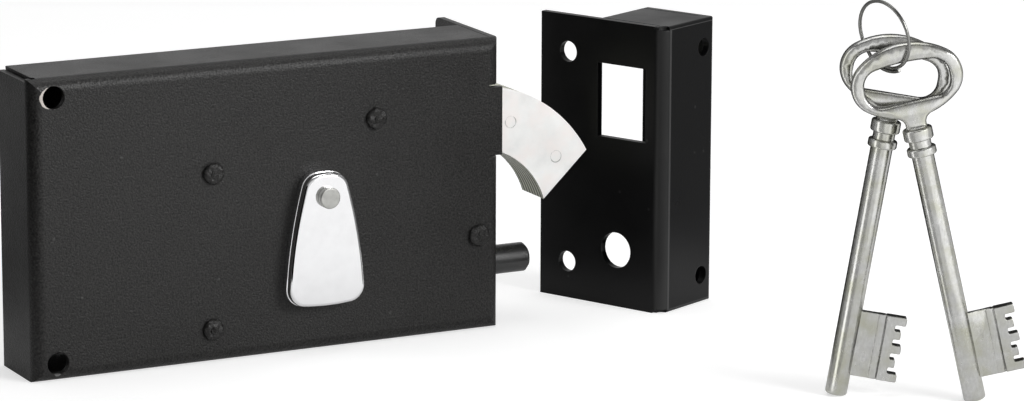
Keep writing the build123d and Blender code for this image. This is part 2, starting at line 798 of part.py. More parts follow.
def bow_outline(neck_y):
    """Flat outline of the bow with its hole and the neck that flares into it."""
    hole_top = bow_half_height - bow_top_bar
    hole_bottom = hole_top - bow_hole_height
    hole_shoulder = hole_top - bow_hole_rise
    neck_foot = neck_y - neck_collar_lap - bow_centre
    with BuildSketch() as outline:
        with BuildLine():
            oval(bow_half_width, bow_half_height, bow_end_radius)
        make_face()
        with Locations((0, neck_foot / 2)):
            Rectangle(2 * neck_half_width, -neck_foot)
        neck_corners = outline.vertices().filter_by(
            lambda vertex: abs(vertex.X) < neck_half_width + fit
        )
        fillet(neck_corners.group_by(Axis.Y)[-1], neck_flare)
        with BuildSketch(mode=Mode.SUBTRACT) as hole:
            with BuildLine():
                Polyline(
                    (-bow_hole_half_width, hole_shoulder),
                    (-bow_hole_half_width, hole_bottom),
                    (bow_hole_half_width, hole_bottom),
                    (bow_hole_half_width, hole_shoulder),
                )
                ThreePointArc(
                    (bow_hole_half_width, hole_shoulder),
                    (0, hole_top),
                    (-bow_hole_half_width, hole_shoulder),
                )
            make_face()
            fillet(hole.vertices(), bow_hole_round)
    return outline.sketch.moved(Location((0, bow_centre, 0)))


def key(name, foot, lean, recline):
    """One-piece lever key on its tip: shank, collars, oval bow and a bit with five teeth."""
    tip = foot + upwards * tip_height(lean, recline)
    across = sideways * cos(radians(lean)) + upwards * sin(radians(lean))
    along = upwards * cos(radians(lean)) - sideways * sin(radians(lean))
    facing_out = along * sin(radians(recline)) - inwards * cos(radians(recline))
    flat = Plane(origin=tip, x_dir=across, z_dir=facing_out)
    groove_y = collar_low + collar_low_height
    high_y = groove_y + collar_groove_height
    neck_y = high_y + collar_high_height
    with BuildPart() as whole:
        extrude(flat.offset(-bow_thickness / 2) * bow_outline(neck_y), amount=bow_thickness)
        flat_edges = whole.faces().filter_by(Axis(tip, facing_out)).edges()
        neck_ends = flat_edges.sort_by(Axis(tip, flat.y_dir))[:2]
        chamfer(flat_edges - neck_ends, bow_edge)
        with BuildSketch(flat) as profile:
            for radius, low, high in (
                (shank_radius, 0, neck_y),
                (collar_low_radius, collar_low, groove_y),
                (collar_high_radius, high_y, neck_y),
            ):
                with Locations((radius / 2, (low + high) / 2)):
                    Rectangle(radius, high - low)
            brim_start = (shank_radius + collar_low_radius) / 2
            brims = profile.vertices().filter_by(lambda vertex: vertex.X > brim_start)
            fillet(brims, collar_round)
            rim = profile.vertices().group_by(Axis.Y)[0].sort_by(Axis.X)[-1]
            fillet(rim, shank_tip_round)
        revolve(axis=Axis(tip, flat.y_dir))
        for reach_start, reach_end, thickness in (
            (0, key_web_reach, key_web_thickness),
            (key_web_reach, key_mid_reach - key_groove_width, key_mid_thickness),
            (key_mid_reach - key_groove_width, key_mid_reach, key_groove_thickness),
        ):
            with BuildSketch(flat.offset(-thickness / 2)):
                with Locations(((reach_start + reach_end) / 2, key_bit_start + key_bit_length / 2)):
                    Rectangle(reach_end - reach_start, key_bit_length)
            extrude(amount=thickness)
        with BuildSketch(flat.offset(-key_strip_thickness / 2)) as strip:
            with Locations(((key_mid_reach + long_tooth_reach) / 2, key_bit_start + key_bit_length / 2)):
                Rectangle(long_tooth_reach - key_mid_reach, key_bit_length)
            for count, cut in enumerate(key_tooth_cuts):
                tooth_y = key_bit_start + count * tooth_pitch
                if count > 0:
                    with Locations((long_tooth_reach - key_tooth_depth / 2, tooth_y - key_tooth_gap / 2)):
                        Rectangle(key_tooth_depth, key_tooth_gap, mode=Mode.SUBTRACT)
                if cut > 0:
                    with Locations((long_tooth_reach - cut / 2, tooth_y + key_tooth_width / 2)):
                        Rectangle(cut, tooth_pitch, mode=Mode.SUBTRACT)
            toothed_x = long_tooth_reach - key_tooth_depth - key_tooth_round
            fillet(strip.vertices().filter_by(lambda vertex: vertex.X > toothed_x), key_tooth_round)
        extrude(amount=key_strip_thickness)
    finish(whole, name)


key("key_front", front_key_foot, front_key_lean, front_key_recline)
key("key_rear", rear_key_foot, rear_key_lean, rear_key_recline)

ring_depth = key_plane_step / 2 - ring_forward
ring_centre = front_key_foot + sideways * ring_shift + inwards * ring_depth + upwards * ring_z
ring_axis = (
    sideways * ring_normal[0] + inwards * -ring_normal[1] + upwards * ring_normal[2]
)
with BuildPart(Plane(origin=ring_centre, z_dir=ring_axis)) as key_ring:
    Torus(ring_radius, ring_wire_radius)
finish(key_ring, "key_ring")
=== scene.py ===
# %% [markdown]
# A surface-mounted gate lock with its keeper and keys.
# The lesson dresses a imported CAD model: a folded black case, a laminated hook bolt, a polished keyhole
# cover, a folded keeper and two keys on a wire ring. Everything is in metres, in the CAD model's frame:
# +X runs to the hook, +Y to the gate and +Z is up, from the middle of the case's underside.

# %% Load the frame
import math

import bmesh
import bpy
import numpy as np
from mathutils import Matrix, Vector


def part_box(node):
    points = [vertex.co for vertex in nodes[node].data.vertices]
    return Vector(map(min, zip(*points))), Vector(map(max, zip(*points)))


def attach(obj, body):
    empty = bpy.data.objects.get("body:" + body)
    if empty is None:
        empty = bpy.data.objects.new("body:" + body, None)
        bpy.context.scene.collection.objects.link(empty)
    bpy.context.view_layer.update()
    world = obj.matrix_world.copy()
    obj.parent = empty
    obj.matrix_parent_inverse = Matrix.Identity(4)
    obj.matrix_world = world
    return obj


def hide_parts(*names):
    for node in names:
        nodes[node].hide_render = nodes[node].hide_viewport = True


MM = 0.001

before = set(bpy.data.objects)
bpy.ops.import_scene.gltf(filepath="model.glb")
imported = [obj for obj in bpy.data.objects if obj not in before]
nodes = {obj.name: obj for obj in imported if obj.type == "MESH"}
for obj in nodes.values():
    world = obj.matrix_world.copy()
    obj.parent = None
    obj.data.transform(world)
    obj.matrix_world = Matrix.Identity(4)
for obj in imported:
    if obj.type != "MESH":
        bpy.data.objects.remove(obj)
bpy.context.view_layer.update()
scene = bpy.context.scene

# %% [markdown]
# The picture was taken from the left of the lock and a little above it, with a long lens, so upright
# edges stay almost parallel. The camera's place and turn came from the lock's own corners. A camera
# looks along its own -Z, so its matrix is made from the view's right, up and backward directions.

# %% Camera
camera_place = Vector((-0.4933, -1.1065, 0.3139))
yaw, pitch, roll = (math.radians(angle) for angle in (27.254, 12.751, -0.223))
forward = Vector((
    math.sin(yaw) * math.cos(pitch),
    math.cos(yaw) * math.cos(pitch),
    -math.sin(pitch),
))
level_right = Vector((math.cos(yaw), -math.sin(yaw), 0.0))
level_down = forward.cross(level_right)
right = level_right * math.cos(roll) + level_down * math.sin(roll)
up = level_right * math.sin(roll) - level_down * math.cos(roll)

camera_data = bpy.data.cameras.new("camera")
camera_data.lens = 164.47
camera_data.sensor_width = 36.0
camera_data.clip_start = 0.05
camera = bpy.data.objects.new("camera", camera_data)
camera_turn = Matrix((right, up, -forward)).transposed()
camera.matrix_world = Matrix.Translation(camera_place) @ camera_turn.to_4x4()
scene.collection.objects.link(camera)
scene.camera = camera
scene.view_settings.view_transform = "Standard"
print("camera looks along", tuple(round(part, 3) for part in forward))

# %% [markdown]
# Node trees are easier to read when a node and its settings take one line. These small helpers add a node,
# feed its sockets with links or plain values, and give back what comes out. They serve the materials and
# the Geometry Nodes alike.


# %% Node helpers
def feed(tree, socket, value):
    """Links a socket to another node's output, or sets it to a plain value."""
    if isinstance(value, bpy.types.NodeSocket):
        tree.links.new(value, socket)
    else:
        socket.default_value = value


def feed_all(tree, made, inputs):
    """Feeds a node's sockets by their names, with _ for a space."""
    for name, value in inputs.items():
        feed(tree, made.inputs[name.replace("_", " ")], value)


def add(tree, kind, **inputs):
    """Adds a node of a kind and feeds its sockets; gives the node."""
    made = tree.nodes.new(kind)
    feed_all(tree, made, inputs)
    return made


def maths(tree, operation, *values, clamp=False):
    """Math node with its values or links in order; gives its output."""
    made = tree.nodes.new("ShaderNodeMath")
    made.operation = operation
    made.use_clamp = clamp
    for socket, value in zip(made.inputs, values):
        feed(tree, socket, value)
    return made.outputs[0]


def ramp(tree, value, low, high):
    """Takes a value from low..high to 0..1, smoothly."""
    made = tree.nodes.new("ShaderNodeMapRange")
    made.interpolation_type = "SMOOTHSTEP"
    feed(tree, made.inputs["Value"], value)
    feed(tree, made.inputs["From Min"], low)
    feed(tree, made.inputs["From Max"], high)
    return made.outputs["Result"]


def blend_colour(tree, fraction, first, second):
    """Mix of two colours; gives its output."""
    made = tree.nodes.new("ShaderNodeMix")
    made.data_type = "RGBA"
    for number, value in ((0, fraction), (6, first), (7, second)):
        feed(tree, made.inputs[number], value)
    return made.outputs[2]


def object_place(tree):
    """Place on the object, which a pattern in real sizes is drawn by."""
    return tree.nodes.new("ShaderNodeTexCoord").outputs["Object"]


print("helpers: feed, feed_all, add, maths, ramp, blend_colour, object_place")

# %% [markdown]
# Four steps come back in nearly every finish and every grown piece: a sum with vectors, a noise, and taking
# a vector apart or putting one together. Each gets its own helper, so that a later line says what it does
# and not which node does it.


# %% Vector and noise helpers
def vector_maths(tree, operation, first, second):
    """Vector Math node with two vectors, or a vector and a factor for SCALE; gives its answer."""
    made = tree.nodes.new("ShaderNodeVectorMath")
    made.operation = operation
    feed(tree, made.inputs[0], first)
    feed(tree, made.inputs["Scale"] if operation == "SCALE" else made.inputs[1], second)
    return made.outputs["Value" if operation in ("DOT_PRODUCT", "DISTANCE") else "Vector"]


def noise(tree, place, scale, detail, roughness=0.5):
    """Soft random pattern whose lumps are about one metre over the scale wide; gives its value."""
    made = add(tree, "ShaderNodeTexNoise", Vector=place, Scale=scale, Detail=detail, Roughness=roughness)
    return made.outputs["Fac"]


def split_vector(tree, vector):
    """The X, Y and Z outputs of a vector."""
    return add(tree, "ShaderNodeSeparateXYZ", Vector=vector).outputs


def join_vector(tree, x, y, z):
    """A vector made of three values."""
    return add(tree, "ShaderNodeCombineXYZ", X=x, Y=y, Z=z).outputs[0]


print("helpers: vector_maths, noise, split_vector, join_vector")

# %% [markdown]
# What several finishes share is built once as a node group, with named inputs and outputs, and placed in
# each material with its own values. Copying the nodes into every material would work too, but then each
# later change has to be made many times.


# %% Group helpers
def new_group(name, inputs, outputs):
    """Shader node group with named sockets; gives the tree and its two end nodes."""
    tree = bpy.data.node_groups.new(name, "ShaderNodeTree")
    for label, kind, default in inputs:
        socket = tree.interface.new_socket(label, in_out="INPUT", socket_type=kind)
        socket.default_value = default
    for label, kind in outputs:
        tree.interface.new_socket(label, in_out="OUTPUT", socket_type=kind)
    return tree, tree.nodes.new("NodeGroupInput"), tree.nodes.new("NodeGroupOutput")


def use_group(tree, group, **inputs):
    """Places a group in a tree and feeds its inputs; gives the node."""
    made = tree.nodes.new("ShaderNodeGroup")
    made.node_tree = group
    feed_all(tree, made, inputs)
    return made


print("group helpers: new_group, use_group")

# %% [markdown]
# Powder coat is sprayed as dry powder and melted, so it is never quite flat: it has the fine skin of an
# orange, broad soft clouds of gloss, and a few hard specks. A photograph of such a coat could be laid on,
# but it would stretch and repeat. The group draws three patterns in real sizes instead, and gives a colour,
# a roughness and a height for a coated piece of any shape. The skin's lighter and darker dots in the colour
# are painted light and shade of its bumps, and the pale specks are painted glints.

# %% Powder coat group
coat_group, coat_in, coat_out = new_group(
    "powder_coat",
    (
        ("Colour", "NodeSocketColor", (0.02, 0.02, 0.02, 1.0)),
        ("Peel size", "NodeSocketFloat", 900.0),
        ("Roughness", "NodeSocketFloat", 0.45),
        ("Clouds", "NodeSocketFloat", 0.12),
        ("Specks", "NodeSocketFloat", 0.35),
        ("Stipple", "NodeSocketFloat", 2.0),
    ),
    (
        ("Colour", "NodeSocketColor"),
        ("Roughness", "NodeSocketFloat"),
        ("Height", "NodeSocketFloat"),
    ),
)
coat_place = object_place(coat_group)
peel = noise(coat_group, coat_place, coat_in.outputs["Peel size"], detail=3.0, roughness=0.55)
clouds = noise(coat_group, coat_place, 45.0, detail=4.0, roughness=0.6)
print("skin and clouds in", coat_group.name)

# %% [markdown]
# The specks come from Voronoi cells: only a few cells are picked, by the random colour that each cell has,
# and each picked cell gets a small round spot in its middle. A noise could be cut off high up instead, but
# then the specks would come in all sizes.

# %% Specks in the coat
CELLS_PER_METRE = 260.0
CLEAN_CELLS = 0.93
# The pale grey of the specks is a painted glint, the light that each one catches.
SPECK_GLINT_GREY = (0.07, 0.07, 0.068, 1.0)

cells = add(coat_group, "ShaderNodeTexVoronoi", Vector=coat_place, Scale=CELLS_PER_METRE)
cell_draw = add(coat_group, "ShaderNodeSeparateColor", Color=cells.outputs["Color"]).outputs[0]
few_cells = maths(coat_group, "GREATER_THAN", cell_draw, CLEAN_CELLS)
near_middle = ramp(coat_group, cells.outputs["Distance"], 0.16, 0.05)
spots = maths(coat_group, "MULTIPLY", near_middle, few_cells)
speck_glints = maths(coat_group, "MULTIPLY", spots, coat_in.outputs["Specks"])
print("specks in", coat_group.name)

# %% [markdown]
# The three patterns come together: clouds and skin lighten and darken the colour, the clouds change the
# gloss, and skin and specks make the height. What the skin does to the colour is painted light and shade on
# its bumps.

# %% Powder coat outputs
DARKEST_SKIN = 0.15
CLOUD_ROUGHNESS = 0.35
SPECK_HEIGHT = 1.2

cloud_shift = maths(coat_group, "SUBTRACT", clouds, 0.5)
peel_shift = maths(coat_group, "SUBTRACT", peel, 0.5)
cloud_gain = maths(coat_group, "MULTIPLY_ADD", cloud_shift, coat_in.outputs["Clouds"], 1.0)
# Painted light and shade: the skin's bumps lighten and darken the colour.
skin_glint_gain = maths(coat_group, "MULTIPLY_ADD", peel_shift, coat_in.outputs["Stipple"], cloud_gain)
gain = maths(coat_group, "MAXIMUM", skin_glint_gain, DARKEST_SKIN)
cloudy = vector_maths(coat_group, "SCALE", coat_in.outputs["Colour"], gain)
speckled = blend_colour(coat_group, speck_glints, cloudy, SPECK_GLINT_GREY)
coat_rough = maths(coat_group, "MULTIPLY_ADD", cloud_shift, CLOUD_ROUGHNESS, coat_in.outputs["Roughness"])
coat_height = maths(coat_group, "MULTIPLY_ADD", speck_glints, SPECK_HEIGHT, peel)
feed(coat_group, coat_out.inputs["Colour"], speckled)
feed(coat_group, coat_out.inputs["Roughness"], coat_rough)
feed(coat_group, coat_out.inputs["Height"], coat_height)
print("group", coat_group.name)

# %% [markdown]
# Sheet metal is never razor sharp. The edges could be rounded in the mesh, but the CAD meshes stay as they
# are. The Bevel node gives the normal that a small round on each edge would have, and where it leans away
# from the true normal there is an edge, which makes a wear mask too.

# %% Edge group
edge_group, edge_in, edge_out = new_group(
    "soft_edges",
    (("Radius", "NodeSocketFloat", 0.3 * MM), ("Break up", "NodeSocketFloat", 600.0)),
    (("Mask", "NodeSocketFloat"), ("Normal", "NodeSocketVector")),
)
round_edge = add(edge_group, "ShaderNodeBevel", Radius=edge_in.outputs["Radius"])
round_edge.samples = 6
true_normal = edge_group.nodes.new("ShaderNodeNewGeometry").outputs["Normal"]
lean = vector_maths(edge_group, "DOT_PRODUCT", round_edge.outputs[0], true_normal)
patchy = noise(edge_group, object_place(edge_group), edge_in.outputs["Break up"], detail=3.0)
edge_whole = ramp(edge_group, lean, 0.985, 0.82)
edge_patches = ramp(edge_group, patchy, 0.35, 0.7)
feed(edge_group, edge_out.inputs["Mask"], maths(edge_group, "MULTIPLY", edge_whole, edge_patches))
feed(edge_group, edge_out.inputs["Normal"], round_edge.outputs[0])
print("group", edge_group.name)

# %% [markdown]
# Plated and bare metals share fine wavering marks, soft stains and small dull spots. The group gives a
# tone that multiplies the metal's colour, a roughness offset and a height. The grain is a noise whose
# place is stretched first, so it can run along a drawn bar or be even all round.

# %% Metal marks group
STAIN_ROUGHNESS = 0.6
GRAIN_ROUGHNESS = 0.5

marks_group, marks_in, marks_out = new_group(
    "metal_marks",
    (
        ("Grain", "NodeSocketVector", (900.0, 900.0, 900.0)),
        ("Stain size", "NodeSocketFloat", 60.0),
        ("Stain", "NodeSocketFloat", 0.2),
        ("Grain tone", "NodeSocketFloat", 0.12),
    ),
    (("Tone", "NodeSocketFloat"), ("Roughness", "NodeSocketFloat"), ("Height", "NodeSocketFloat")),
)
marks_place = object_place(marks_group)
stretched = vector_maths(marks_group, "MULTIPLY", marks_place, marks_in.outputs["Grain"])
grain = noise(marks_group, stretched, 1.0, detail=4.0, roughness=0.65)
stains = noise(marks_group, marks_place, marks_in.outputs["Stain size"], detail=5.0, roughness=0.62)
grain_shift = maths(marks_group, "SUBTRACT", grain, 0.5)
stain_shift = maths(marks_group, "SUBTRACT", stains, 0.5)
stain_tone = maths(marks_group, "MULTIPLY_ADD", stain_shift, marks_in.outputs["Stain"], 1.0)
marks_tone = maths(marks_group, "MULTIPLY_ADD", grain_shift, marks_in.outputs["Grain tone"], stain_tone)
stain_rough = maths(marks_group, "MULTIPLY", stain_shift, STAIN_ROUGHNESS)
marks_rough = maths(marks_group, "MULTIPLY_ADD", grain_shift, GRAIN_ROUGHNESS, stain_rough)
feed(marks_group, marks_out.inputs["Tone"], marks_tone)
feed(marks_group, marks_out.inputs["Roughness"], marks_rough)
feed(marks_group, marks_out.inputs["Height"], grain)
print("group", marks_group.name)

# %% [markdown]
# Black coated steel. The case, the keeper and the guide stud wear the same coat with other values: the
# case has the coarsest skin, the keeper is flatter and made darker, as painted shade for the shade it
# stands in beside the lock, and the stud is smoother.


# %% Coated steel
def coated(name, colour, edge_colour, peel_size, roughness, specular, bump, relief, stipple):
    """Powder-coated steel with soft, slightly paler edges; gives the material."""
    material = bpy.data.materials.new(name)
    material.use_nodes = True
    tree = material.node_tree
    shader = tree.nodes["Principled BSDF"]
    shader.inputs["Specular IOR Level"].default_value = specular
    coat = use_group(
        tree, coat_group, Colour=colour, Peel_size=peel_size, Roughness=roughness, Stipple=stipple
    )
    edges = use_group(tree, edge_group, Radius=0.35 * MM)
    half_worn = maths(tree, "MULTIPLY", edges.outputs["Mask"], 0.5)
    skin = add(
        tree,
        "ShaderNodeBump",
        Height=coat.outputs["Height"],
        Normal=edges.outputs["Normal"],
        Strength=bump,
        Distance=relief,
    )
    edged = blend_colour(tree, half_worn, coat.outputs["Colour"], edge_colour)
    feed(tree, shader.inputs["Base Color"], edged)
    feed(tree, shader.inputs["Roughness"], coat.outputs["Roughness"])
    feed(tree, shader.inputs["Normal"], skin.outputs[0])
    return material


case_black = coated(
    "case_black_coat",
    colour=(0.016, 0.0155, 0.015, 1.0),
    edge_colour=(0.05, 0.05, 0.048, 1.0),
    peel_size=1900.0,
    roughness=0.36,
    specular=0.30,
    bump=1.0,
    relief=0.17 * MM,
    stipple=4.2,
)
# A darker copy of the coat: painted shade, for the shade the keeper stands in beside the lock.
keeper_shaded_black = coated(
    "keeper_black_coat",
    colour=(0.0035, 0.0035, 0.0038, 1.0),
    edge_colour=(0.03, 0.03, 0.03, 1.0),
    peel_size=1400.0,
    roughness=0.36,
    specular=0.28,
    bump=0.25,
    relief=0.08 * MM,
    stipple=1.0,
)
stud_black = coated(
    "stud_black_coat",
    colour=(0.016, 0.016, 0.016, 1.0),
    edge_colour=(0.03, 0.03, 0.03, 1.0),
    peel_size=1300.0,
    roughness=0.26,
    specular=0.9,
    bump=0.15,
    relief=0.08 * MM,
    stipple=1.0,
)
print("coats:", case_black.name, keeper_shaded_black.name, stud_black.name)

# %% [markdown]
# Metals. A Principled BSDF with Metallic at 1 takes its look from what it reflects, so each metal only
# needs its colour, its gloss and the marks of how it was made. A second colour can lie over it in soft
# patches, as where plating has gone yellow, and its edges can be darker, as painted shade along their rounds.

# %% Metal
EDGE_SHADE = (0.10, 0.10, 0.085, 1.0)
PATCHES_PER_METRE = 190.0
GRAIN_DEPTH = 0.05 * MM


def metal(
    name,
    colour,
    roughness,
    grain,
    stain_size,
    stain,
    bump,
    edge_radius=0.2 * MM,
    dark_edges=0.0,
    metallic=1.0,
    patches=None,
    grain_tone=0.12,
):
    """Metal with marks, stains and softened edges; gives the material."""
    material = bpy.data.materials.new(name)
    material.use_nodes = True
    tree = material.node_tree
    shader = tree.nodes["Principled BSDF"]
    shader.inputs["Metallic"].default_value = metallic
    marks = use_group(
        tree, marks_group, Grain=grain, Stain_size=stain_size, Stain=stain, Grain_tone=grain_tone
    )
    edges = use_group(tree, edge_group, Radius=edge_radius)
    tone = vector_maths(tree, "SCALE", colour, marks.outputs["Tone"])
    if patches is not None:
        patch_noise = noise(tree, object_place(tree), PATCHES_PER_METRE, detail=5.0)
        tone = blend_colour(tree, ramp(tree, patch_noise, 0.35, 0.75), tone, patches)
    # Painted shade: the colour gets darker along the edges' rounds.
    edge_shade_mask = maths(tree, "MULTIPLY", edges.outputs["Mask"], dark_edges)
    skin = add(
        tree,
        "ShaderNodeBump",
        Height=marks.outputs["Height"],
        Normal=edges.outputs["Normal"],
        Strength=bump,
        Distance=GRAIN_DEPTH,
    )
    gloss = maths(tree, "MULTIPLY_ADD", marks.outputs["Roughness"], 0.5, roughness, clamp=True)
    feed(tree, shader.inputs["Base Color"], blend_colour(tree, edge_shade_mask, tone, EDGE_SHADE))
    feed(tree, shader.inputs["Roughness"], gloss)
    feed(tree, shader.inputs["Normal"], skin.outputs[0])
    return material


# The colour of the painted shade on the edges.
print("dirt colour:", EDGE_SHADE)

# %% [markdown]
# The metals in view: the hook's near-white zinc, the cover's polished chrome, the dull nickel of the keys,
# the cover's grey rivet and the dark spring wire of the ring. The zinc is so matt and pale that it hardly
# mirrors anything, so its Metallic is low and its own colour does the work.

# %% Metals in view
hook_zinc = metal(
    "hook_zinc",
    colour=(0.97, 0.97, 0.955),
    roughness=0.40,
    grain=(500.0, 500.0, 500.0),
    stain_size=110.0,
    stain=0.25,
    bump=0.2,
    edge_radius=0.12 * MM,
    dark_edges=0.6,
    metallic=0.2,
    patches=(1.0, 0.955, 0.93, 1.0),
)
cover_chrome = metal(
    "cover_chrome",
    colour=(0.97, 0.97, 0.98),
    roughness=0.08,
    grain=(300.0, 300.0, 300.0),
    stain_size=40.0,
    stain=0.05,
    bump=0.03,
    edge_radius=0.1 * MM,
)
rivet_grey = metal(
    "rivet_grey",
    colour=(0.45, 0.45, 0.43),
    roughness=0.45,
    grain=(1500.0, 1500.0, 1500.0),
    stain_size=500.0,
    stain=0.5,
    bump=0.4,
    edge_radius=0.3 * MM,
    dark_edges=0.6,
)
key_metal = metal(
    "key_metal",
    colour=(0.50, 0.50, 0.49),
    roughness=0.23,
    grain=(1900.0, 1900.0, 800.0),
    stain_size=260.0,
    stain=0.4,
    bump=0.3,
    edge_radius=0.4 * MM,
    dark_edges=0.8,
    patches=(0.42, 0.42, 0.355, 1.0),
    grain_tone=0.55,
)
ring_wire = metal(
    "ring_wire",
    colour=(0.22, 0.22, 0.21),
    roughness=0.28,
    grain=(2500.0, 2500.0, 2500.0),
    stain_size=200.0,
    stain=0.3,
    bump=0.2,
    edge_radius=0.1 * MM,
)
print("metals:", hook_zinc.name, cover_chrome.name, rivet_grey.name, key_metal.name, ring_wire.name)

# %% [markdown]
# The metals inside the case: bright rolled steel for the levers, the stump and the sleeves, and the blued
# steel of the leaf springs, both with a grain along the sheet.

# %% Metals inside
mechanism_steel = metal(
    "mechanism_steel",
    colour=(0.50, 0.50, 0.48),
    roughness=0.38,
    grain=(200.0, 1800.0, 200.0),
    stain_size=80.0,
    stain=0.3,
    bump=0.3,
)
spring_steel = metal(
    "spring_steel",
    colour=(0.25, 0.27, 0.31),
    roughness=0.3,
    grain=(400.0, 1600.0, 400.0),
    stain_size=120.0,
    stain=0.3,
    bump=0.2,
)
print("metals inside:", mechanism_steel.name, spring_steel.name)

# %% [markdown]
# Marks that belong to one place are painted over a finished material. They could be painted by hand on an
# unwrapped mesh, but a mask by place needs no unwrapping and stays sharp. The first helper lays a colour
# over whatever feeds the base colour. The second gives the distance from a line that runs straight through
# the lock from front to back, at a given x and z.


# %% Painting helpers
def paint_over(material, mask, colour):
    """Lays a colour over the material's own, by a mask from its tree."""
    tree = material.node_tree
    base = tree.nodes["Principled BSDF"].inputs["Base Color"]
    feed(tree, base, blend_colour(tree, mask, base.links[0].from_socket, colour))


def distance_in_front(tree, place, centre):
    """Distance from the front-to-back line through (x, z)."""
    flat = vector_maths(tree, "MULTIPLY", place, (1.0, 0.0, 1.0))
    return vector_maths(tree, "DISTANCE", flat, (centre[0], 0.0, centre[1]))


print("painting helpers: paint_over, distance_in_front")

# %% [markdown]
# Painted highlights on the screw holes. The countersunk rims of the holes catch the light from the upper
# right, and a thin pale crescent, painted into the coat's colour like bare steel, stands for that highlight.
# A round patch that is a little off the hole's centre gives just that, broken up by noise. The small grey
# spot under the lower hole is a painted highlight of its rim too. Only the case's front sheet is painted so,
# and the patch ends at the inner side of that sheet.

# %% Painted highlights on the rims
RIM_PAINT_DEPTH = -9.2 * MM


def paint_rim_highlight(material, centre, radius, colour):
    """Pale round patch painted on the case's front as a highlight; changes the material's colour."""
    tree = material.node_tree
    place = object_place(tree)
    ragged = noise(tree, place, 900.0, detail=3.0)
    away = distance_in_front(tree, place, centre)
    ragged_away = maths(tree, "MULTIPLY_ADD", ragged, 0.6 * MM, away)
    disc = ramp(tree, ragged_away, radius + 0.4 * MM, radius + 0.2 * MM)
    in_front = maths(tree, "LESS_THAN", split_vector(tree, place)["Y"], RIM_PAINT_DEPTH)
    paint_over(material, maths(tree, "MULTIPLY", disc, in_front), colour)


upper_rim_highlight = (-62.0 * MM, 75.0 * MM)
lower_rim_highlight = (-60.9 * MM, 2.1 * MM)
paint_rim_highlight(case_black, upper_rim_highlight, radius=2.7 * MM, colour=(0.62, 0.57, 0.53, 1.0))
paint_rim_highlight(case_black, lower_rim_highlight, radius=0.8 * MM, colour=(0.16, 0.16, 0.16, 1.0))
# Both patches are painted highlights.
print("worn:", case_black.name, "at", upper_rim_highlight, "and", lower_rim_highlight)

# %% [markdown]
# The hook is a stack of stamped plates. Its face is plated near white. On the sheared edges the plating is
# thin and olive, with a dark line where two plates meet. The plates' planes lie at even steps of Y, so the
# distance to the nearest step draws those lines on every face that doesn't look forward or back.


# %% Laminated edges
OLIVE_DEEP = (0.58, 0.59, 0.45, 1.0)
OLIVE_PALE = (0.92, 0.93, 0.78, 1.0)
JOINT_DARK = (0.03, 0.032, 0.02, 1.0)
JOINT_FADE = 2.2


def laminate(material, first, step, half_line):
    """Olive edges with a dark line between the plates; changes the material's colour."""
    tree = material.node_tree
    coordinates = tree.nodes.new("ShaderNodeTexCoord")
    place = coordinates.outputs["Object"]
    depth = split_vector(tree, place)["Y"]
    facing = split_vector(tree, coordinates.outputs["Normal"])["Y"]
    sheared = ramp(tree, maths(tree, "ABSOLUTE", facing), 0.75, 0.45)
    turns = maths(tree, "DIVIDE", maths(tree, "SUBTRACT", depth, first), step)
    from_joint = maths(tree, "ABSOLUTE", maths(tree, "SUBTRACT", turns, maths(tree, "ROUND", turns)))
    joint = ramp(tree, from_joint, JOINT_FADE * half_line / step, half_line / step)
    streaks = noise(tree, place, 500.0, detail=3.0)
    olive = blend_colour(tree, streaks, OLIVE_DEEP, OLIVE_PALE)
    lined = blend_colour(tree, maths(tree, "MULTIPLY", joint, 0.95), olive, JOINT_DARK)
    paint_over(material, sheared, lined)


plate_boxes = [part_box(name) for name in sorted(nodes) if name.startswith("hook_plate")]
stack_front = min(box[0][1] for box in plate_boxes)
stack_back = max(box[1][1] for box in plate_boxes)
plate_step = (stack_back - stack_front) / len(plate_boxes)
laminate(hook_zinc, stack_front, plate_step, half_line=0.2 * MM)
print("hook plates:", len(plate_boxes), "of", round(plate_step / MM, 2), "mm")

# %% [markdown]
# The two rivets of the hook are ground flush and plated over, so that only a faint broken circle shows where
# rivet and plate meet. A narrow band of distance from each rivet's middle draws it, darker in places.


# %% Flush rivets
def rivet_mark(material, centre, radius, strength):
    """Faint broken circle; changes the material's colour."""
    tree = material.node_tree
    place = object_place(tree)
    away = distance_in_front(tree, place, centre)
    off_circle = maths(tree, "ABSOLUTE", maths(tree, "SUBTRACT", away, radius))
    circle = ramp(tree, off_circle, 0.22 * MM, 0.04 * MM)
    broken = noise(tree, place, 420.0, detail=3.0)
    mark = maths(tree, "MULTIPLY", circle, ramp(tree, broken, 0.4, 0.62))
    paint_over(material, maths(tree, "MULTIPLY", mark, strength), (0.16, 0.16, 0.15, 1.0))


rivet_radius = 1.6 * MM
rivets_low, rivets_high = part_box("hook_rivets")
rivet_middles = (
    (rivets_low[0] + rivet_radius, rivets_high[2] - rivet_radius),
    (rivets_high[0] - rivet_radius, rivets_low[2] + rivet_radius),
)
for middle in rivet_middles:
    rivet_mark(hook_zinc, middle, rivet_radius, strength=0.6)
print("rivet marks:", len(rivet_middles))

# %% [markdown]
# Where the keeper's sheet is folded, the long bend catches the light: a paler band with a fine line beside it
# is painted into the coat's colour there as a painted highlight. The two largest upright flats in view are
# the plate and the front that is folded from it. Only the bend's faces look half-way between them, so masks
# of the normal find the band and the line.


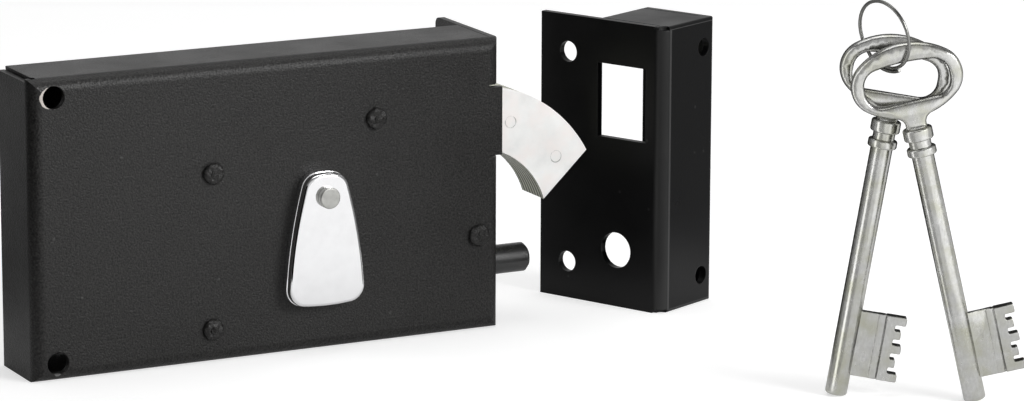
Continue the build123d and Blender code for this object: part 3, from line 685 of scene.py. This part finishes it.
# %% Painted highlight on the fold
def paint_fold_highlight(material, fold_looks, front_looks, band_highlight_colour, line_highlight_colour):
    """Painted highlight: a paler band on the fold, and a fine line where it meets the front; changes the
    material's colour.
    """
    tree = material.node_tree
    looks = tree.nodes.new("ShaderNodeTexCoord").outputs["Normal"]
    to_fold = vector_maths(tree, "DOT_PRODUCT", looks, fold_looks)
    to_front = vector_maths(tree, "DOT_PRODUCT", looks, front_looks)
    band = ramp(tree, to_fold, 0.76, 0.93)
    line = maths(tree, "MULTIPLY", ramp(tree, to_front, 0.965, 0.985), ramp(tree, to_front, 0.9995, 0.998))
    paint_over(material, band, band_highlight_colour)
    paint_over(material, line, line_highlight_colour)


def largest_looks(mesh, count):
    """The directions in which most of the upright area in the camera's view looks, largest first."""
    areas = {}
    for polygon in mesh.polygons:
        if polygon.normal.dot(forward) < 0.0 and abs(polygon.normal.z) < 0.1:
            looks = tuple(round(part, 2) for part in polygon.normal)
            areas[looks] = areas.get(looks, 0.0) + polygon.area
    ranked = sorted(areas, key=areas.get, reverse=True)
    return [Vector(looks) for looks in ranked[:count]]


plate_looks, front_looks = largest_looks(nodes["keeper"].data, 2)
fold_looks = (plate_looks + front_looks).normalized()
paint_fold_highlight(
    keeper_shaded_black,
    tuple(fold_looks),
    tuple(front_looks.normalized()),
    band_highlight_colour=(0.027, 0.027, 0.027, 1.0),
    line_highlight_colour=(0.05, 0.05, 0.05, 1.0),
)
print("plate looks along", tuple(plate_looks), "and its folded front along", tuple(front_looks))

# %% [markdown]
# The CAD pieces whose shape is right keep their meshes and only take a better material. Numbered pieces,
# such as the hook's plates, share the finish under their common name. What isn't in the list is a plain
# steel part inside the case.

# %% Dress the CAD nodes
finishes = {
    "front_case": case_black,
    "back_plate": case_black,
    "hook_pivot_post": case_black,
    "lever_post": case_black,
    "upper_case_post": case_black,
    "lower_case_post": case_black,
    "guide_stud": stud_black,
    "hook_plate": hook_zinc,
    "hook_rivets": hook_zinc,
    "keeper": keeper_shaded_black,
    "keyhole_cover": cover_chrome,
    "cover_rivet": rivet_grey,
    "key_front": key_metal,
    "key_rear": key_metal,
    "key_ring": ring_wire,
    "lever_spring": spring_steel,
}


def finish_of(name):
    """The finish under a node's name without its number, or plain steel."""
    kind = name.rstrip("0123456789").rstrip("_")
    return finishes.get(kind, mechanism_steel)


for name, part in nodes.items():
    finish = finish_of(name)
    if part.material_slots:
        for slot in part.material_slots:
            slot.material = finish
    else:
        part.data.materials.append(finish)
print("dressed", len(nodes), "nodes")

# %% [markdown]
# The exported meshes have a face to every few degrees of a round, each with its own corners. On a polished
# key that shows as flat strips. A copy with its corners merged and its shallow edges smoothed reflects as
# the turned and drawn metal does, while edges sharper than the limit stay crisp. Weighting each corner's
# direction by the size of its faces keeps the large flats flat.

# %% Smooth copies
SHARP_EDGE = math.radians(35.0)


def smooth_copy(name, body):
    """Merged and smoothed copy of a CAD node, in its place; gives the new object."""
    mesh = nodes[name].data.copy()
    merger = bmesh.new()
    merger.from_mesh(mesh)
    bmesh.ops.remove_doubles(merger, verts=merger.verts, dist=0.002 * MM)
    merger.to_mesh(mesh)
    merger.free()
    mesh.shade_smooth()
    mesh.set_sharp_from_angle(angle=SHARP_EDGE)
    piece = bpy.data.objects.new(name + "_smooth", mesh)
    scene.collection.objects.link(piece)
    weighted = piece.modifiers.new("weighted", "WEIGHTED_NORMAL")
    weighted.weight = 50
    weighted.keep_sharp = True
    graph = bpy.context.evaluated_depsgraph_get()
    even = bpy.data.meshes.new_from_object(piece.evaluated_get(graph))
    piece.modifiers.clear()
    piece.data = even
    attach(piece, body)
    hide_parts(name)
    return piece


smooth_pieces = [
    smooth_copy("key_front", "front_key_body"),
    smooth_copy("key_rear", "rear_key_body"),
    smooth_copy("keyhole_cover", "cover"),
    smooth_copy("guide_stud", "case"),
]
print("smoothed:", [piece.name for piece in smooth_pieces])

# %% [markdown]
# Three kinds of piece grow from rules, so Geometry Nodes make them: the hammered heads of the four posts,
# the rib around the cover and the sprung wire ring. The helpers start a tree with named inputs, end it, and
# run it on a small mesh of points. The plain result is kept, and the modifier goes.


# %% Growing a piece
def geometry_tree(name, sockets):
    """Geometry Nodes tree with a geometry and named inputs; gives the tree and its two end nodes."""
    tree = bpy.data.node_groups.new(name, "GeometryNodeTree")
    tree.interface.new_socket("Geometry", in_out="INPUT", socket_type="NodeSocketGeometry")
    for label, kind in sockets:
        tree.interface.new_socket(label, in_out="INPUT", socket_type=kind)
    tree.interface.new_socket("Geometry", in_out="OUTPUT", socket_type="NodeSocketGeometry")
    return tree, tree.nodes.new("NodeGroupInput"), tree.nodes.new("NodeGroupOutput")


def finish_tree(tree, start, end, geometry):
    """Realizes the instances, shades them smooth and gives them the finish."""
    real = add(tree, "GeometryNodeRealizeInstances", Geometry=geometry)
    smooth = add(tree, "GeometryNodeSetShadeSmooth", Geometry=real.outputs[0])
    finish = start.outputs["Finish"]
    dressed = add(tree, "GeometryNodeSetMaterial", Geometry=smooth.outputs[0], Material=finish)
    feed(tree, end.inputs["Geometry"], dressed.outputs[0])


def grow(name, tree, points, closed=False, **values):
    """Runs a tree on points, joined in a loop if closed; gives an object with a plain mesh."""
    seed_mesh = bpy.data.meshes.new(name)
    loop = [(n, (n + 1) % len(points)) for n in range(len(points))] if closed else []
    seed_mesh.from_pydata(points, loop, [])
    piece = bpy.data.objects.new(name, seed_mesh)
    scene.collection.objects.link(piece)
    modifier = piece.modifiers.new("shape", "NODES")
    modifier.node_group = tree
    for item in tree.interface.items_tree:
        label = item.name.replace(" ", "_")
        if item.in_out == "INPUT" and label in values:
            modifier[item.identifier] = values[label]
    graph = bpy.context.evaluated_depsgraph_get()
    grown = bpy.data.meshes.new_from_object(piece.evaluated_get(graph))
    piece.modifiers.clear()
    piece.data = grown
    print(name, len(grown.polygons), "faces")
    return piece


print("growing helpers: geometry_tree, finish_tree, grow")

# %% [markdown]
# Each post goes through the case's front and its end is hammered over into a low dome with a small raw
# point left in the middle, and then coated with the case. Sculpting four heads by hand would look as good,
# but a rule can be changed in one place. The dome starts as a ball. Its front half rises as the fourth root
# of one less the fourth power of the distance from its middle, which is flatter on top and fuller at the
# rim than a ball, and its back half is pressed flat.

# %% Dome of a head
heads_tree, heads_in, heads_out = geometry_tree(
    "hammered_heads",
    (
        ("Radius", "NodeSocketFloat"),
        ("Height", "NodeSocketFloat"),
        ("Point radius", "NodeSocketFloat"),
        ("Point height", "NodeSocketFloat"),
        ("Dents", "NodeSocketFloat"),
        ("Back", "NodeSocketFloat"),
        ("Finish", "NodeSocketMaterial"),
    ),
)
head_radius = heads_in.outputs["Radius"]
head_height = heads_in.outputs["Height"]
ball = add(heads_tree, "GeometryNodeMeshUVSphere", Segments=56, Rings=28, Radius=1.0)
ball_place = heads_tree.nodes.new("GeometryNodeInputPosition")
ball_x, ball_y, ball_z = split_vector(heads_tree, ball_place.outputs[0])
x_square = maths(heads_tree, "MULTIPLY", ball_x, ball_x)
off_middle = maths(heads_tree, "MULTIPLY_ADD", ball_z, ball_z, x_square)
less_fourth = maths(heads_tree, "SUBTRACT", 1.0, maths(heads_tree, "MULTIPLY", off_middle, off_middle))
fullness = maths(heads_tree, "POWER", maths(heads_tree, "MAXIMUM", less_fourth, 0.0), 0.25)
front_half = maths(heads_tree, "LESS_THAN", ball_y, 0.001)
dome_y = maths(heads_tree, "MULTIPLY", maths(heads_tree, "MULTIPLY", fullness, -1.0), front_half)
dome_place = join_vector(heads_tree, ball_x, dome_y, ball_z)
full_dome = add(heads_tree, "GeometryNodeSetPosition", Geometry=ball.outputs["Mesh"], Position=dome_place)
dome_size = join_vector(heads_tree, head_radius, head_height, head_radius)
dome = add(heads_tree, "GeometryNodeTransform", Geometry=full_dome.outputs[0], Scale=dome_size)
print("dome in", heads_tree.name)

# %% [markdown]
# The raw point is a small squashed ball near the dome's top, a little off its middle, as the hammer leaves
# it. Dome and point are one head, which is set on each post.

# %% Heads on the posts
POINT_RISE = 0.92
POINT_OFF_X = 0.12 * MM
POINT_OFF_Z = 0.1 * MM

point_radius = heads_in.outputs["Point radius"]
point_height = heads_in.outputs["Point height"]
point_size = join_vector(heads_tree, point_radius, point_height, point_radius)
point_y = maths(heads_tree, "MULTIPLY", head_height, -POINT_RISE)
point_place = join_vector(heads_tree, POINT_OFF_X, point_y, POINT_OFF_Z)
point = add(
    heads_tree,
    "GeometryNodeTransform",
    Geometry=ball.outputs["Mesh"],
    Translation=point_place,
    Scale=point_size,
)
head = add(heads_tree, "GeometryNodeJoinGeometry")
for shape in (dome, point):
    heads_tree.links.new(shape.outputs[0], head.inputs[0])
set_heads = add(
    heads_tree, "GeometryNodeInstanceOnPoints", Points=heads_in.outputs["Geometry"], Instance=head.outputs[0]
)
real_heads = add(heads_tree, "GeometryNodeRealizeInstances", Geometry=set_heads.outputs[0])
print("heads in", heads_tree.name)

# %% [markdown]
# The hammer's dents are a noise that pushes the surface along its normal. As it follows the place in the
# case, the four heads all differ. At last everything that reaches behind the case's front is drawn back to
# one plane, so that the heads sit flat on the sheet.

# %% Dents of the heads
DENT_LEVEL = 0.42
DEEPEST_DENT = -0.02

heads_place = heads_tree.nodes.new("GeometryNodeInputPosition")
heads_normal = heads_tree.nodes.new("GeometryNodeInputNormal")
dent_noise = noise(heads_tree, heads_place.outputs[0], 650.0, detail=3.0, roughness=0.6)
dent_rise = maths(heads_tree, "SUBTRACT", dent_noise, DENT_LEVEL)
dent_part = maths(heads_tree, "MAXIMUM", dent_rise, DEEPEST_DENT)
dent = maths(heads_tree, "MULTIPLY", dent_part, heads_in.outputs["Dents"])
dent_push = vector_maths(heads_tree, "SCALE", heads_normal.outputs[0], dent)
dented = add(heads_tree, "GeometryNodeSetPosition", Geometry=real_heads.outputs[0], Offset=dent_push)
dented_place = heads_tree.nodes.new("GeometryNodeInputPosition")
dented_x, dented_y, dented_z = split_vector(heads_tree, dented_place.outputs[0])
flat_y = maths(heads_tree, "MINIMUM", dented_y, heads_in.outputs["Back"])
flat_place = join_vector(heads_tree, dented_x, flat_y, dented_z)
flattened = add(heads_tree, "GeometryNodeSetPosition", Geometry=dented.outputs[0], Position=flat_place)
finish_tree(heads_tree, heads_in, heads_out, flattened.outputs[0])
print("dents in", heads_tree.name)

# %% [markdown]
# The heads grow at the middles of the four posts, on the plane of the case's front. They are a little wider
# than the plain heads of the CAD posts, which stay inside them.

# %% Hammered heads
post_names = ("hook_pivot_post", "lever_post", "upper_case_post", "lower_case_post")
case_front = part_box("front_case")[0][1]
post_middles = []
for name in post_names:
    low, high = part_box(name)
    post_middles.append(((low[0] + high[0]) / 2, case_front, (low[2] + high[2]) / 2))
heads = grow(
    "hammered_heads",
    heads_tree,
    post_middles,
    Radius=2.78 * MM,
    Height=1.25 * MM,
    Point_radius=1.0 * MM,
    Point_height=0.6 * MM,
    Dents=1.5 * MM,
    Back=case_front + 0.05 * MM,
    Finish=case_black,
)
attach(heads, "case")
print("heads on", len(post_middles), "posts")

# %% [markdown]
# The cover is pressed from thin sheet, and a fine rib is rolled around its side, which draws a bright line
# there. A bump in the material would be too weak, as the rib catches light from its own round. The tree
# lays a thin round bead along a closed path.

# %% Rolled rib tree
rib_tree, rib_in, rib_out = geometry_tree(
    "rolled_lip",
    (("Bead", "NodeSocketFloat"), ("Finish", "NodeSocketMaterial")),
)
rib_path = add(rib_tree, "GeometryNodeMeshToCurve", Mesh=rib_in.outputs["Geometry"])
rib_even = add(rib_tree, "GeometryNodeResampleCurve", Curve=rib_path.outputs[0], Count=260)
rib_round = add(rib_tree, "GeometryNodeCurvePrimitiveCircle", Resolution=14, Radius=rib_in.outputs["Bead"])
rib_bead = add(
    rib_tree, "GeometryNodeCurveToMesh", Curve=rib_even.outputs[0], Profile_Curve=rib_round.outputs[0]
)
finish_tree(rib_tree, rib_in, rib_out, rib_bead.outputs[0])
print("tree", rib_tree.name)

# %% [markdown]
# The rib lies a little behind the middle of the cover's depth, and its path comes from the cover's rearmost
# corners. Their outline bulges everywhere, so the outermost of them, in order, are the whole outline: a walk
# over the points that drops each one where the path would turn inwards, first from left to right and then
# back.

# %% Rolled rib
RIB_BACK = 0.55
BEAD_RADIUS = 0.2 * MM


def outermost(points):
    """Convex outline of (x, z) points, in order."""
    ordered = sorted(set(points))
    halves = []
    for row in (ordered, ordered[::-1]):
        half = []
        for point in row:
            while len(half) > 1:
                (ax, az), (bx, bz) = half[-2], half[-1]
                if (bx - ax) * (point[1] - az) - (bz - az) * (point[0] - ax) > 0.0:
                    break
                half.pop()
            half.append(point)
        halves.append(half[:-1])
    return halves[0] + halves[1]


cover_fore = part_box("keyhole_cover")[0][1]
cover_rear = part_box("keyhole_cover")[1][1]
rib_depth = cover_fore + RIB_BACK * (cover_rear - cover_fore)
cover_corners = [vertex.co for vertex in nodes["keyhole_cover"].data.vertices]
rear_corners = [corner for corner in cover_corners if corner.y > cover_rear - 0.02 * MM]
outline = outermost([(round(corner.x, 6), round(corner.z, 6)) for corner in rear_corners])
lip = grow(
    "rolled_lip",
    rib_tree,
    [(x, rib_depth, z) for x, z in outline],
    closed=True,
    Bead=BEAD_RADIUS,
    Finish=cover_chrome,
)
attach(lip, "cover")
print("rib path:", len(outline), "corners")

# %% [markdown]
# The ring is a piece of spring wire, wound a little more than once around, so that its two cut ends lap at
# the bottom. A torus has no ends to lap, so the tree bends a straight line around the ring's centre by its
# length factor. Over the last part of the turn it lets the radius grow by one wire, which lays the end
# outside the start.

# %% Wire ring tree
LAP_START = 0.80
LAP_END = 0.885

wire_tree, wire_in, wire_out = geometry_tree(
    "lapped_wire",
    (
        ("Centre", "NodeSocketVector"),
        ("Down", "NodeSocketVector"),
        ("Across", "NodeSocketVector"),
        ("Radius", "NodeSocketFloat"),
        ("Wire", "NodeSocketFloat"),
        ("Turns", "NodeSocketFloat"),
        ("Lap", "NodeSocketFloat"),
        ("Finish", "NodeSocketMaterial"),
    ),
)
line = add(wire_tree, "GeometryNodeCurvePrimitiveLine", End=(1.0, 0.0, 0.0))
fine_line = add(wire_tree, "GeometryNodeResampleCurve", Curve=line.outputs[0], Count=320)
along = wire_tree.nodes.new("GeometryNodeSplineParameter").outputs["Factor"]
wire_turns = wire_in.outputs["Turns"]
sweep = maths(wire_tree, "MULTIPLY", wire_turns, math.tau)
first_angle = maths(wire_tree, "MULTIPLY", maths(wire_tree, "SUBTRACT", wire_turns, 1.0), -math.pi)
angle = maths(wire_tree, "MULTIPLY_ADD", along, sweep, first_angle)
growth = ramp(wire_tree, along, LAP_START, LAP_END)
reach = maths(wire_tree, "MULTIPLY_ADD", growth, wire_in.outputs["Lap"], wire_in.outputs["Radius"])
print("line bent by", wire_tree.name)

# %% [markdown]
# A point on the ring is its centre, plus the reach times the cosine downwards, plus the reach times the sine
# across. A small circle drawn along that path gives the wire, with its two ends closed.

# %% Wire along the ring
down_reach = maths(wire_tree, "MULTIPLY", reach, maths(wire_tree, "COSINE", angle))
across_reach = maths(wire_tree, "MULTIPLY", reach, maths(wire_tree, "SINE", angle))
down_part = vector_maths(wire_tree, "SCALE", wire_in.outputs["Down"], down_reach)
across_part = vector_maths(wire_tree, "SCALE", wire_in.outputs["Across"], across_reach)
around = vector_maths(wire_tree, "ADD", down_part, across_part)
ring_place = vector_maths(wire_tree, "ADD", around, wire_in.outputs["Centre"])
bent = add(wire_tree, "GeometryNodeSetPosition", Geometry=fine_line.outputs[0], Position=ring_place)
round_wire = add(wire_tree, "GeometryNodeCurvePrimitiveCircle", Resolution=20, Radius=wire_in.outputs["Wire"])
drawn = add(
    wire_tree, "GeometryNodeCurveToMesh", Curve=bent.outputs[0], Profile_Curve=round_wire.outputs[0]
)
drawn.inputs["Fill Caps"].default_value = True
finish_tree(wire_tree, wire_in, wire_out, drawn.outputs[0])
print("wire in", wire_tree.name)

# %% [markdown]
# The ring hangs where the CAD ring does, so its place is measured from that ring's mesh. The mean of the
# corners is the centre. The direction in which the corners spread least is the normal, and a singular value
# decomposition gives it. The steepest way down in the ring's plane is where the ends lap.

# %% Wire ring
ring_corners = [vertex.co for vertex in nodes["key_ring"].data.vertices]
ring_centre = sum(ring_corners, Vector()) / len(ring_corners)
ring_spread = np.array([tuple(corner - ring_centre) for corner in ring_corners])
ring_normal = Vector(np.linalg.svd(ring_spread, full_matrices=False)[2][2])
ring_down = (Vector((0.0, 0.0, -1.0)) + ring_normal * ring_normal.z).normalized()
ring = grow(
    "lapped_wire_ring",
    wire_tree,
    [(0.0, 0.0, 0.0)],
    Centre=ring_centre,
    Down=ring_down,
    Across=ring_normal.cross(ring_down),
    Radius=8.9 * MM,
    Wire=0.45 * MM,
    Turns=1.13,
    Lap=0.92 * MM,
    Finish=ring_wire,
)
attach(ring, "ring_body")
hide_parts("key_ring")
print("ring centre:", tuple(round(part / MM, 1) for part in ring_centre), "mm")

# %% [markdown]
# The floor is a large pale sheet that keeps soft shadows. The camera sees it a little brighter than it is
# lit, so that it comes out white. Brighter lamps would whiten it too, but they would burn out the chrome.
# Shiny things see it brighter in front of the lock than behind it, as in a studio whose light falls on the
# front of the table.

# %% Floor
CAMERA_GLOW = 0.56
SHINE_BEHIND = 0.14
SHINE_GAIN = 0.22

floor_mesh = bpy.data.meshes.new("floor")
floor_builder = bmesh.new()
bmesh.ops.create_grid(floor_builder, x_segments=1, y_segments=1, size=3.0)
floor_builder.to_mesh(floor_mesh)
floor_builder.free()
floor = bpy.data.objects.new("floor", floor_mesh)
scene.collection.objects.link(floor)

floor_paint = bpy.data.materials.new("floor_white")
floor_paint.use_nodes = True
floor_tree = floor_paint.node_tree
floor_shader = floor_tree.nodes["Principled BSDF"]
floor_shader.inputs["Base Color"].default_value = (0.62, 0.62, 0.62, 1.0)
floor_shader.inputs["Roughness"].default_value = 0.9
floor_shader.inputs["Specular IOR Level"].default_value = 0.0
floor_shader.inputs["Emission Color"].default_value = (1.0, 1.0, 1.0, 1.0)
floor_paths = floor_tree.nodes.new("ShaderNodeLightPath")
for_camera = maths(floor_tree, "MULTIPLY", floor_paths.outputs["Is Camera Ray"], CAMERA_GLOW)
floor_depth = split_vector(floor_tree, object_place(floor_tree))["Y"]
towards_front = ramp(floor_tree, floor_depth, -0.01, -0.12)
shine = maths(floor_tree, "MULTIPLY_ADD", towards_front, SHINE_GAIN, SHINE_BEHIND)
for_metal = maths(floor_tree, "MULTIPLY", floor_paths.outputs["Is Glossy Ray"], shine)
feed(floor_tree, floor_shader.inputs["Emission Strength"], maths(floor_tree, "ADD", for_camera, for_metal))
floor_mesh.materials.append(floor_paint)
print("floor:", floor.name)

# %% [markdown]
# The surround is white for the camera. If it were as white for the lock, every black surface would mirror
# it and look pale. So what lights the lock is an even grey that gets darker high above and to the far left,
# and rounded black edges keep a soft change from light to dark.

# %% Surround
ROOM_TONE = 0.65
HIGH_FALL = -0.45
LEFT_FALL = -0.6

world = bpy.data.worlds.new("studio")
scene.world = world
world.use_nodes = True
world_tree = world.node_tree
direction = world_tree.nodes.new("ShaderNodeTexCoord").outputs["Generated"]
direction_parts = split_vector(world_tree, direction)
high_up = ramp(world_tree, direction_parts["Z"], 0.35, 0.8)
far_left = ramp(world_tree, direction_parts["X"], -0.35, -0.8)
height_tone = maths(world_tree, "MULTIPLY_ADD", high_up, HIGH_FALL, ROOM_TONE)
left_tone = maths(world_tree, "MULTIPLY_ADD", far_left, LEFT_FALL, 1.0)
room_tone = maths(world_tree, "MULTIPLY", height_tone, left_tone)
in_camera = world_tree.nodes.new("ShaderNodeLightPath").outputs["Is Camera Ray"]
room_colour = blend_colour(world_tree, in_camera, room_tone, (1.0, 1.0, 1.0, 1.0))
feed(world_tree, world_tree.nodes["Background"].inputs["Color"], room_colour)
print("world:", world.name)

# %% [markdown]
# A product photographer stands dark and pale cards around shiny things, out of the picture, so that their
# sides get clear dark and bright bands. More lamps would draw bands too, but would also light the black
# pieces. Each card here is a plain upright sheet that only shiny surfaces see: it casts no shadow and the
# camera looks through it. Its tone is how bright it is, from black at 0.


# %% Card helper
def card(name, corner, run, height, tone, foot=0.0):
    """Upright card from a corner (x, y) along a run, held up to its foot; gives the object."""
    start = Vector((corner[0], corner[1], foot))
    end = start + Vector((run[0], run[1], 0.0))
    rise = Vector((0.0, 0.0, height))
    mesh = bpy.data.meshes.new(name)
    mesh.from_pydata([start, end, end + rise, start + rise], [], [(0, 1, 2, 3)])
    paint = bpy.data.materials.new(name)
    paint.use_nodes = True
    shader = paint.node_tree.nodes["Principled BSDF"]
    shader.inputs["Base Color"].default_value = (0.0, 0.0, 0.0, 1.0)
    shader.inputs["Specular IOR Level"].default_value = 0.0
    shader.inputs["Emission Color"].default_value = (1.0, 1.0, 1.0, 1.0)
    shader.inputs["Emission Strength"].default_value = tone
    mesh.materials.append(paint)
    holder = bpy.data.objects.new(name, mesh)
    holder.visible_camera = False
    holder.visible_diffuse = False
    holder.visible_shadow = False
    holder.visible_transmission = False
    scene.collection.objects.link(holder)
    return holder


print("card helper: card")

# %% [markdown]
# Cards for the black pieces. Two dull ones give the case's left side its even grey, two black ones keep its
# long left bend dark, and a dull one lifts the front of the keeper's box off its plate.

# %% Cards for the case and the keeper
case_cards = [
    card("card_case_side", corner=(-0.45, 0.14), run=(0.37, 0.0), height=0.16, tone=0.26),
    card("card_case_side_low", corner=(-0.20, 0.06), run=(0.125, 0.0), height=0.03, tone=0.12),
    card("card_case_bend", corner=(-0.16, 0.06), run=(0.0, -0.12), height=0.12, tone=0.0),
    card("card_case_bend_front", corner=(-0.16, -0.06), run=(0.05, -0.06), height=0.12, tone=0.0),
    card("card_keeper_front", corner=(0.19, -0.09), run=(0.0, 0.14), height=0.14, tone=0.24),
]
print("cards:", len(case_cards))

# %% [markdown]
# Cards for the keys. A round bar shows the whole room in narrow bands. From its left edge inwards the shanks
# have a dark edge, a fine bright line, a grey valley and a broad bright band. The cards behind and at the
# edge give the first, and one card gives each of the others. The last card hangs before the two bows.

# %% Cards for the keys
KEY_CARD_HEIGHT = 0.11

key_cards = [
    card("card_keys_behind", corner=(0.085, -0.035), run=(0.14, -0.072), height=0.12, tone=0.02),
    card("card_keys_edge", corner=(0.0707, -0.0845), run=(0.0143, 0.0445), height=KEY_CARD_HEIGHT, tone=0.22),
    card("card_keys_bright", corner=(0.0965, -0.1212), run=(0.0, 0.0070), height=KEY_CARD_HEIGHT, tone=2.3),
    card("card_keys_left", corner=(0.095, -0.147), run=(0.0, 0.047), height=KEY_CARD_HEIGHT, tone=0.55),
    card(
        "card_keys_front", corner=(0.1185, -0.176), run=(0.0495, 0.0135), height=0.088, tone=1.55, foot=0.022
    ),
    card(
        "card_bows", corner=(0.0546, -0.1971), run=(0.0528, -0.0258), height=0.045, tone=1.4, foot=0.05
    ),
]
print("cards:", len(key_cards))

# %% [markdown]
# The lamps are two soft squares, as a bare point would cut hard shadows. The main one stands far to the
# front and right, and the other hangs high over the lock and lights the tops.


# %% Lamps
def lamp(name, place, target, size, power):
    """Square soft lamp that faces a point; gives the object."""
    data = bpy.data.lights.new(name, "AREA")
    data.shape = "SQUARE"
    data.size = size
    data.energy = power
    holder = bpy.data.objects.new(name, data)
    holder.location = place
    holder.rotation_euler = (Vector(target) - Vector(place)).to_track_quat("-Z", "Y").to_euler()
    scene.collection.objects.link(holder)
    return holder


lamp_front = lamp("lamp_front", (0.75, -1.15, 0.65), target=(0.03, 0.0, 0.05), size=0.6, power=15.0)
lamp_top = lamp("lamp_top", (0.1, 0.1, 1.1), target=(0.0, 0.0, 0.05), size=0.8, power=4.0)
print("lamps:", lamp_front.name, lamp_top.name)
